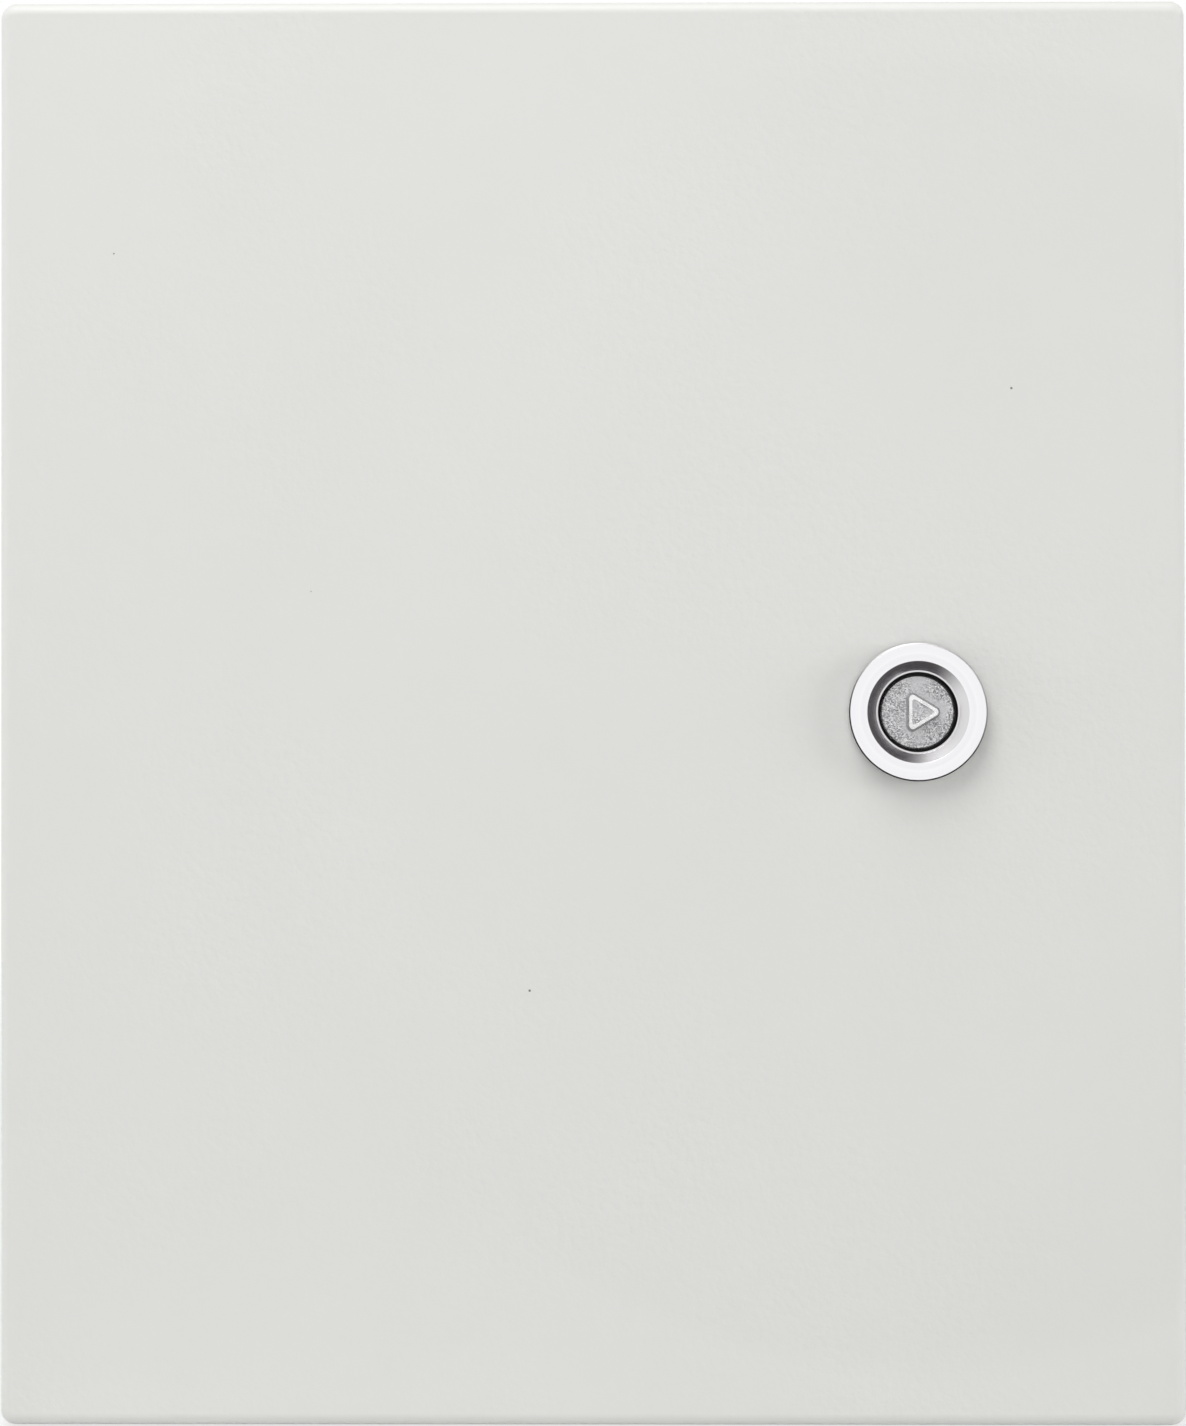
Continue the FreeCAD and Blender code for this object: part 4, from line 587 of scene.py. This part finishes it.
# %% [markdown]
# ## Threads
# The solids of the studs are plain rods of the thread's outer size. Seen from near, a thread is what
# makes a rod a stud. A rod of the thread's inner size is turned first, by extruding a disc and
# resizing its end, and then one ridge is wound round it: a three-sided outline, turned by a Screw
# modifier that climbs one pitch for each turn. A thread's depth, width and chamfer are shares of its
# pitch, so the same outline serves every size. The studs of one size are made once and copied.


# %% A turned rod
ROD_SIDES = 28


def turned(name, steps):
    """A solid of revolution that stands on the origin: each step is (height, radius)."""
    bpy.ops.object.select_all(action="DESELECT")
    bpy.ops.mesh.primitive_circle_add(vertices=ROD_SIDES, radius=steps[0][1], fill_type="NGON")
    rod = bpy.context.object
    rod.name = name
    bpy.ops.object.mode_set(mode="EDIT")
    bpy.ops.mesh.select_all(action="SELECT")
    for (low, inner), (high, outer) in zip(steps, steps[1:]):
        bpy.ops.mesh.extrude_region_move(TRANSFORM_OT_translate={"value": (0, 0, high - low)})
        bpy.ops.transform.resize(value=(outer / inner, outer / inner, 1))
    settle(rod)
    return rod


# %% A wound ridge
RIDGE_OUT, RIDGE_ALONG = 0.44, 0.50
TURN_STEPS = 22


def ridge(name, crest, pitch, low, high):
    """A thread's ridge round the Z axis, from one height to another."""
    bpy.ops.object.select_all(action="DESELECT")
    bpy.ops.mesh.primitive_circle_add(vertices=3, radius=1.0, rotation=(math.pi / 2, 0, 0))
    coil = bpy.context.object
    coil.name = name
    bpy.ops.object.transform_apply(location=True, rotation=True, scale=True)
    coil.rotation_euler = (0, math.pi / 2, 0)
    bpy.ops.object.transform_apply(location=True, rotation=True, scale=True)
    coil.scale = (RIDGE_OUT * pitch, 1, RIDGE_ALONG * pitch)
    coil.location = (crest - RIDGE_OUT * pitch, 0, low)
    bpy.ops.object.transform_apply(location=True, rotation=True, scale=True)
    climb = coil.modifiers.new("climb", "SCREW")
    climb.axis, climb.angle, climb.screw_offset = "Z", 2 * math.pi, pitch
    climb.iterations, climb.steps = int((high - low) / pitch), TURN_STEPS
    climb.render_steps = climb.steps
    bpy.ops.object.modifier_apply(modifier="climb")
    bpy.ops.object.mode_set(mode="EDIT")
    bpy.ops.mesh.select_all(action="SELECT")
    bpy.ops.mesh.fill_holes(sides=3)
    settle(coil)
    return coil


# %% A stud
THREAD_DEPTH = 0.61
CHAMFER_HIGH, CHAMFER_IN = 0.5, 0.35
RUN_OUT = 1.2


def stud(name, radius, pitch, length):
    """A threaded stud that stands on the origin, with a chamfered end."""
    core = radius - THREAD_DEPTH * pitch
    chamfer = [(length - CHAMFER_HIGH * pitch, core), (length, core - CHAMFER_IN * pitch)]
    rod = turned(name, [(0, core)] + chamfer)
    coil = ridge(name + "_ridge", radius, pitch, pitch, length - RUN_OUT * pitch)
    only(rod)
    coil.select_set(True)
    bpy.ops.object.join()
    smooth(rod, 40)
    return rod


# %% Copies of a stud
def stand(piece, turn, places):
    """Turns a piece, copies it to each place, and joins the copies to one piece."""
    piece.rotation_euler = turn
    only(piece)
    bpy.ops.object.transform_apply(location=True, rotation=True, scale=True)
    copies = []
    for place in places[1:]:
        only(piece)
        bpy.ops.object.duplicate()
        copies.append(bpy.context.object)
        copies[-1].location = place
    piece.location = places[0]
    only(piece)
    for copy in copies:
        copy.select_set(True)
    if copies:
        bpy.ops.object.join()
    bpy.ops.object.transform_apply(location=True, rotation=True, scale=True)


# %% [markdown]
# ## The studs
# The solids tell where each stud stands and how long it is. The outermost studs touch the sides of
# the group's box, so the places follow from the box and the radius.


# %% Places in a row
def between(low, high, radius, number):
    """Evenly spread middles of round things that fill the way from low to high."""
    first, last = low + radius, high - radius
    return [first + (last - first) * step / (number - 1) for step in range(number)]


# %% The mounting plate's studs point forward
low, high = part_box("plate_studs")
PLATE_STUD, PLATE_PITCH = 4 * MM, 1.25 * MM
places = [
    (x, high.y, z)
    for x in between(low.x, high.x, PLATE_STUD, 2)
    for z in between(low.z, high.z, PLATE_STUD, 2)
]
plate_studs = stud("plate_studs_threaded", PLATE_STUD, PLATE_PITCH, high.y - low.y)
stand(plate_studs, (math.pi / 2, 0, 0), places)
hand_over(plate_studs, "enclosure", "zinc_plated_steel", "plate_studs")

# %% The gland plate's studs point up
low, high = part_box("gland_studs")
GLAND_STUD, GLAND_PITCH = 2.5 * MM, 0.8 * MM
places = [
    (x, y, low.z)
    for x in between(low.x, high.x, GLAND_STUD, 3)
    for y in between(low.y, high.y, GLAND_STUD, 2)
]
gland_studs = stud("gland_studs_threaded", GLAND_STUD, GLAND_PITCH, high.z - low.z)
stand(gland_studs, (0, 0, 0), places)
hand_over(gland_studs, "enclosure", "zinc_plated_steel", "gland_studs")

# %% The body's earth stud points up
EARTH_STUD, EARTH_PITCH = 3 * MM, 1.0 * MM
low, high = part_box("body_earth_stud")
centre = middle("body_earth_stud")
body_stud = stud("body_earth_stud_threaded", EARTH_STUD, EARTH_PITCH, high.z - low.z)
stand(body_stud, (0, 0, 0), [(centre.x, centre.y, low.z)])
hand_over(body_stud, "enclosure", "zinc_plated_steel", "body_earth_stud")

# %% The door's earth stud points back
low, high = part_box("door_earth_stud")
centre = middle("door_earth_stud")
door_stud = stud("door_earth_stud_threaded", EARTH_STUD, EARTH_PITCH, high.y - low.y)
stand(door_stud, (-math.pi / 2, 0, 0), [(centre.x, low.y, centre.z)])
hand_over(door_stud, "door", "zinc_plated_steel", "door_earth_stud")

# %% [markdown]
# ## The lock's thread
# The lock's barrel carries a fine thread for its big nut, cut away on two sides where the flats keep
# it from turning in the door. The ridge is wound as before, and each flat then slices it: a bisect
# removes all that stands beyond the flat and closes the cut.

# %% Wind the ridge behind the nut
nut_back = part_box("lock_nut")[1].y
housing_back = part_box("lock_housing")[1].y
BARREL_CREST, BARREL_PITCH = 11.28 * MM, 1.5 * MM
LEDGE, FREE_END, FIRST_TURN = 1.7 * MM, 1.0 * MM, 0.8 * MM
thread_length = housing_back - LEDGE - nut_back - FREE_END
coil = ridge("barrel_thread", BARREL_CREST, BARREL_PITCH, 0.0, thread_length)
coil.rotation_euler = (-math.pi / 2, 0, 0)
coil.location = (LOCK_AXIS.x, nut_back + FIRST_TURN, LOCK_AXIS.z)
settle(coil)

# %% Slice it at the flats
HALF_FLATS = 10.05 * MM
bpy.ops.object.mode_set(mode="EDIT")
for side in (-1, 1):
    bpy.ops.mesh.select_all(action="SELECT")
    bpy.ops.mesh.bisect(
        plane_co=(LOCK_AXIS.x, 0, LOCK_AXIS.z + side * HALF_FLATS),
        plane_no=(0, 0, side),
        use_fill=True,
        clear_outer=True,
    )
bpy.ops.object.mode_set(mode="OBJECT")
smooth(coil, 40)
hand_over(coil, "door", "chrome")

# %% [markdown]
# ## The spring washer
# Under the cam's screw lies a spring washer: one turn of square wire, cut through and sprung apart a
# little. A closed ring would be a plain washer. Four sides wound almost once round, climbing by a
# third of a millimetre, make the real one.

# %% The wire's outline
low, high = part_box("cam_washer")
WASHER_BORE = 2.65 * MM
WIRE_SHARE, CLIMB_SHARE = 0.72, 0.28
ALMOST_ROUND, WASHER_STEPS = math.radians(348), 48
wall = high.y - low.y
outer = (high.x - low.x) / 2
wire = outer - WASHER_BORE
bpy.ops.object.select_all(action="DESELECT")
bpy.ops.mesh.primitive_plane_add(size=1, rotation=(math.pi / 2, 0, 0))
spring = bpy.context.object
spring.name = "spring_washer"
spring.scale = (wire, wall * WIRE_SHARE, 1)
spring.location = (outer - wire / 2, 0, wall * WIRE_SHARE / 2)
bpy.ops.object.transform_apply(location=True, rotation=True, scale=True)
bpy.ops.object.mode_set(mode="EDIT")
bpy.ops.mesh.select_all(action="SELECT")
bpy.ops.mesh.delete(type="ONLY_FACE")
bpy.ops.object.mode_set(mode="OBJECT")
print("wire", round(wire / MM, 2), "mm wide")

# %% Wind it almost once round
wind = spring.modifiers.new("wind", "SCREW")
wind.axis, wind.angle, wind.screw_offset = "Z", ALMOST_ROUND, wall * CLIMB_SHARE
wind.steps, wind.render_steps, wind.iterations = WASHER_STEPS, WASHER_STEPS, 1
bpy.ops.object.modifier_apply(modifier="wind")
bpy.ops.object.mode_set(mode="EDIT")
bpy.ops.mesh.select_all(action="SELECT")
bpy.ops.mesh.fill_holes(sides=4)
settle(spring)
stand(spring, (-math.pi / 2, 0, 0), [(LOCK_AXIS.x, low.y, LOCK_AXIS.z)])
smooth(spring, 40)
hand_over(spring, "lock", "zinc_plated_steel", "cam_washer")

# %% [markdown]
# ## The lock's core
# The core's solid is right wherever it runs in the housing. The real head fills its bore a little
# better, though, and its key triangle is a touch narrower and further to the right. So the solid's
# mesh is copied and its loose triangles are merged. Then only the head's outer points are spread
# from the axis, and only the triangle's points are drawn in and moved.


# %% Pick points by their place
def pick_points(piece, wanted):
    """In edit mode, selects the points for which wanted(place) holds."""
    bpy.ops.mesh.select_mode(type="VERT")
    bpy.ops.mesh.select_all(action="DESELECT")
    bpy.ops.object.mode_set(mode="OBJECT")
    for point in piece.data.vertices:
        point.select = wanted(point.co)
    bpy.ops.object.mode_set(mode="EDIT")


def off_axis(place):
    """How far a place is from the lock's axis."""
    return math.hypot(place.x - LOCK_AXIS.x, place.z - LOCK_AXIS.z)


# %% Copy the solid
fitted = bpy.data.objects.new("fitted_core", nodes["lock_core"].data.copy())
bpy.context.collection.objects.link(fitted)
settle(fitted)
bpy.ops.mesh.customdata_custom_splitnormals_clear()
print("copied:", len(fitted.data.vertices), "points")

# %% Spread the head
FACE_RADIUS, FITTED_HEAD = 7 * MM, 7.82 * MM
solid_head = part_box("lock_core")[1].x - LOCK_AXIS.x
spread = FITTED_HEAD / solid_head
bpy.ops.object.mode_set(mode="EDIT")
pick_points(fitted, lambda place: off_axis(place) > FACE_RADIUS)
bpy.ops.transform.resize(value=(spread, 1, spread), center_override=LOCK_AXIS)
print("head spread by", round(spread, 4))

# %% Fit the triangle
CORE_PROUD = 0.6 * MM
NARROWER, FURTHER_RIGHT = 0.95, 0.4 * MM
core_face = DOOR_FACE - CORE_PROUD
pick_points(fitted, lambda place: place.y < core_face + NEAR and off_axis(place) < FACE_RADIUS)
bpy.ops.transform.resize(value=(NARROWER, 1, 1), center_override=LOCK_AXIS)
bpy.ops.transform.translate(value=(FURTHER_RIGHT, 0, 0))
bpy.ops.object.mode_set(mode="OBJECT")
smooth(fitted, 30)
hand_over(fitted, "lock", "cast_zinc", "lock_core")
reach = max(off_axis(point.co) for point in fitted.data.vertices)
print("head's radius:", round(reach / MM, 2), "mm")

# %% [markdown]
# ## The light
# The photograph is a plain studio shot, white all round and softly lit. The top edge of the door
# catches the light and goes nearly white, the sides are lit too, and the bottom edge is a shade
# darker than the face. Four soft lamps do that: a large one high in front, one above, and one at
# each side. The room is white where the camera or the metal looks at it, but lights the sheet with
# only about a quarter of that, so that the shadows stay.

# %% The white room
ROOM_LIGHT, ROOM_SEEN = 0.27, 1.0
room = bpy.data.worlds.new("white_room")
room.use_nodes = True
bpy.context.scene.world = room
air = Wiring(room.node_tree)
path = air.node("ShaderNodeLightPath", output="Is Camera Ray")
rays = path.socket.node.outputs
seen = path.maths("MAXIMUM", path, Value(air, rays["Is Glossy Ray"]))
seen = seen.maths("MAXIMUM", seen, Value(air, rays["Is Transmission Ray"]))
fill = air.node("ShaderNodeBackground", None, {"Color": (1, 1, 1, 1), "Strength": ROOM_LIGHT})
backdrop = air.node("ShaderNodeBackground", None, {"Color": (1, 1, 1, 1), "Strength": ROOM_SEEN})
blended = air.node("ShaderNodeMixShader", None, {0: seen, 1: fill, 2: backdrop})
air.node("ShaderNodeOutputWorld", None, {"Surface": blended})
print("room nodes:", len(room.node_tree.nodes))


# %% Soft lamps
def lamp(name, place, width, watts):
    """A square soft lamp that faces the enclosure."""
    light = bpy.data.lights.new(name, "AREA")
    light.size, light.energy = width, watts
    holder = bpy.data.objects.new(name, light)
    bpy.context.collection.objects.link(holder)
    holder.location = place
    holder.rotation_euler = (-Vector(place)).to_track_quat("-Z", "Y").to_euler()
    holder.visible_camera = False
    return holder


lamp("key_lamp", (-0.40, -1.2, 1.25), 1.0, 11.0)
lamp("top_lamp", (-0.15, -0.5, 1.3), 0.6, 7.0)
lamp("right_lamp", (1.5, -0.6, 0.1), 0.8, 12.0).visible_glossy = False
lamp("left_lamp", (-1.5, -0.35, 0.1), 0.8, 8.0).visible_glossy = False
print("lamps:", [light.name for light in bpy.data.lights])

# %% [markdown]
# ## A shaded card for the metal
# Bright metal only shows what stands round it, and in an all-white room it would have no shape. So
# a bent card stands close round the lock, white on the left, grey above, and dark on the right and
# below. Each wall of the lock's dish shows the side across from it, so its left and upper walls go
# dark, its right wall stays bright and its foot comes between. Only reflections see the card: it
# casts no shadow and gives the paint no light.

# %% Bend the card round the lock
CARD_RADIUS, CARD_LENGTH, CARD_AWAY = 140 * MM, 110 * MM, 60 * MM
CARD_SIDES = 64
bpy.ops.mesh.primitive_cylinder_add(
    vertices=CARD_SIDES, radius=CARD_RADIUS, depth=CARD_LENGTH, end_fill_type="NOTHING",
    location=(LOCK_AXIS.x, LOCK_FACE - CARD_AWAY, LOCK_AXIS.z), rotation=(math.pi / 2, 0, 0),
)
card = bpy.context.object
card.name = "shaded_card"
bpy.ops.object.transform_apply(location=True, rotation=True, scale=True)
print("card bent at", round(CARD_RADIUS / MM), "mm from the lock's axis")

# %% Shade it from one side to the other
shaded = Finish("shaded_card", Roughness=1.0, Specular_IOR_Level=0.0, Emission_Strength=1.0)
across, _, up = shaded.parts(shaded.place(LOCK_AXIS))
WHITE_SIDE = math.radians(166)
towards = (across * math.cos(WHITE_SIDE) + up * math.sin(WHITE_SIDE)) * (1 / CARD_RADIUS)
shaded.paint(
    Base_Color=(0, 0, 0, 1),
    Emission_Color=shaded.mix(towards.fade(0.05, 0.85), (0.075, 0.068, 0.073, 1), (1, 1, 1, 1)),
)
card.data.materials.append(shaded.material)
for kind in ("camera", "diffuse", "transmission", "volume_scatter", "shadow"):
    setattr(card, "visible_" + kind, False)
card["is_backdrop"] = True

# %% [markdown]
# ## The floor
# The floor is pale and carries the shadow. It should end in the same white as the room, with no
# horizon. More light would wash out the sheet, so instead the floor mixes in a glow that only the
# camera and reflections see, and the share of the glow grows with distance from the enclosure.

# %% Lay the floor
FLOOR_SIDE = 60.0
bpy.ops.mesh.primitive_plane_add(size=FLOOR_SIDE, location=(0, 0, cad_low.z))
floor = bpy.context.object
floor.name = "studio_floor"
bpy.ops.object.transform_apply(location=True, rotation=True, scale=True)
pale = Finish("pale_floor", Roughness=0.8)
mottle = pale.noise(pale.place(), 300 * MM, detail=2.0)
pale.paint(Base_Color=pale.mix(mottle, (0.80, 0.80, 0.80, 1), (0.83, 0.83, 0.83, 1)))

# %% Let it fade to white
NEAR_GLOW, FADE_START, FADE_END = 0.72, 0.4, 2.2
glow = pale.node("ShaderNodeEmission", None, {"Color": (1, 1, 1, 1), "Strength": 1.0})
looked_at = pale.node("ShaderNodeLightPath", output="Is Camera Ray")
mirrored = Value(pale, looked_at.socket.node.outputs["Is Glossy Ray"])
looked_at = looked_at.maths("MAXIMUM", looked_at, mirrored)
lit = Value(pale, pale.surface.outputs[0])
reach = pale.node("ShaderNodeVectorMath", {"operation": "LENGTH"}, {0: pale.place()}, "Value")
share = looked_at * (NEAR_GLOW + (1 - NEAR_GLOW) * reach.fade(FADE_START, FADE_END))
lifted = pale.node("ShaderNodeMixShader", None, {0: share, 1: lit, 2: glow})
pale.node("ShaderNodeOutputMaterial", {"is_active_output": True}, {"Surface": lifted})
floor.data.materials.append(pale.material)
floor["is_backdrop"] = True
print("floor at", round(cad_low.z / MM, 1), "mm")

# %% [markdown]
# ## The camera
# The photograph was taken from nearly straight in front, about level with the middle of the door, so
# no side of the enclosure shows. A long lens a metre from the door gives that flat look. The camera
# could be aimed at the door by a constraint, but a place and three turns, set so that the door's
# corners fall where they do in the photograph, are simpler and come nearer.

# %% Set up the camera
CAMERA_PLACE = (0.0112, -1.15, -0.0103)
CAMERA_TURNS = (90.584, 0.044, 0.633)
FOCAL_LENGTH, SENSOR = 120.3, 36
lens = bpy.data.cameras.new("photo_camera")
lens.lens, lens.sensor_width, lens.sensor_fit = FOCAL_LENGTH, SENSOR, "AUTO"
camera = bpy.data.objects.new("photo_camera", lens)
bpy.context.collection.objects.link(camera)
camera.location = CAMERA_PLACE
camera.rotation_euler = tuple(math.radians(turn) for turn in CAMERA_TURNS)
bpy.context.scene.camera = camera
bpy.context.scene.view_settings.view_transform = "Standard"
print("camera", round((DOOR_FACE - camera.location.y) / MM), "mm in front of the door")

# %% The size of what is shown
low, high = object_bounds()
print("visual size in mm:", [round(side / MM, 1) for side in high - low])
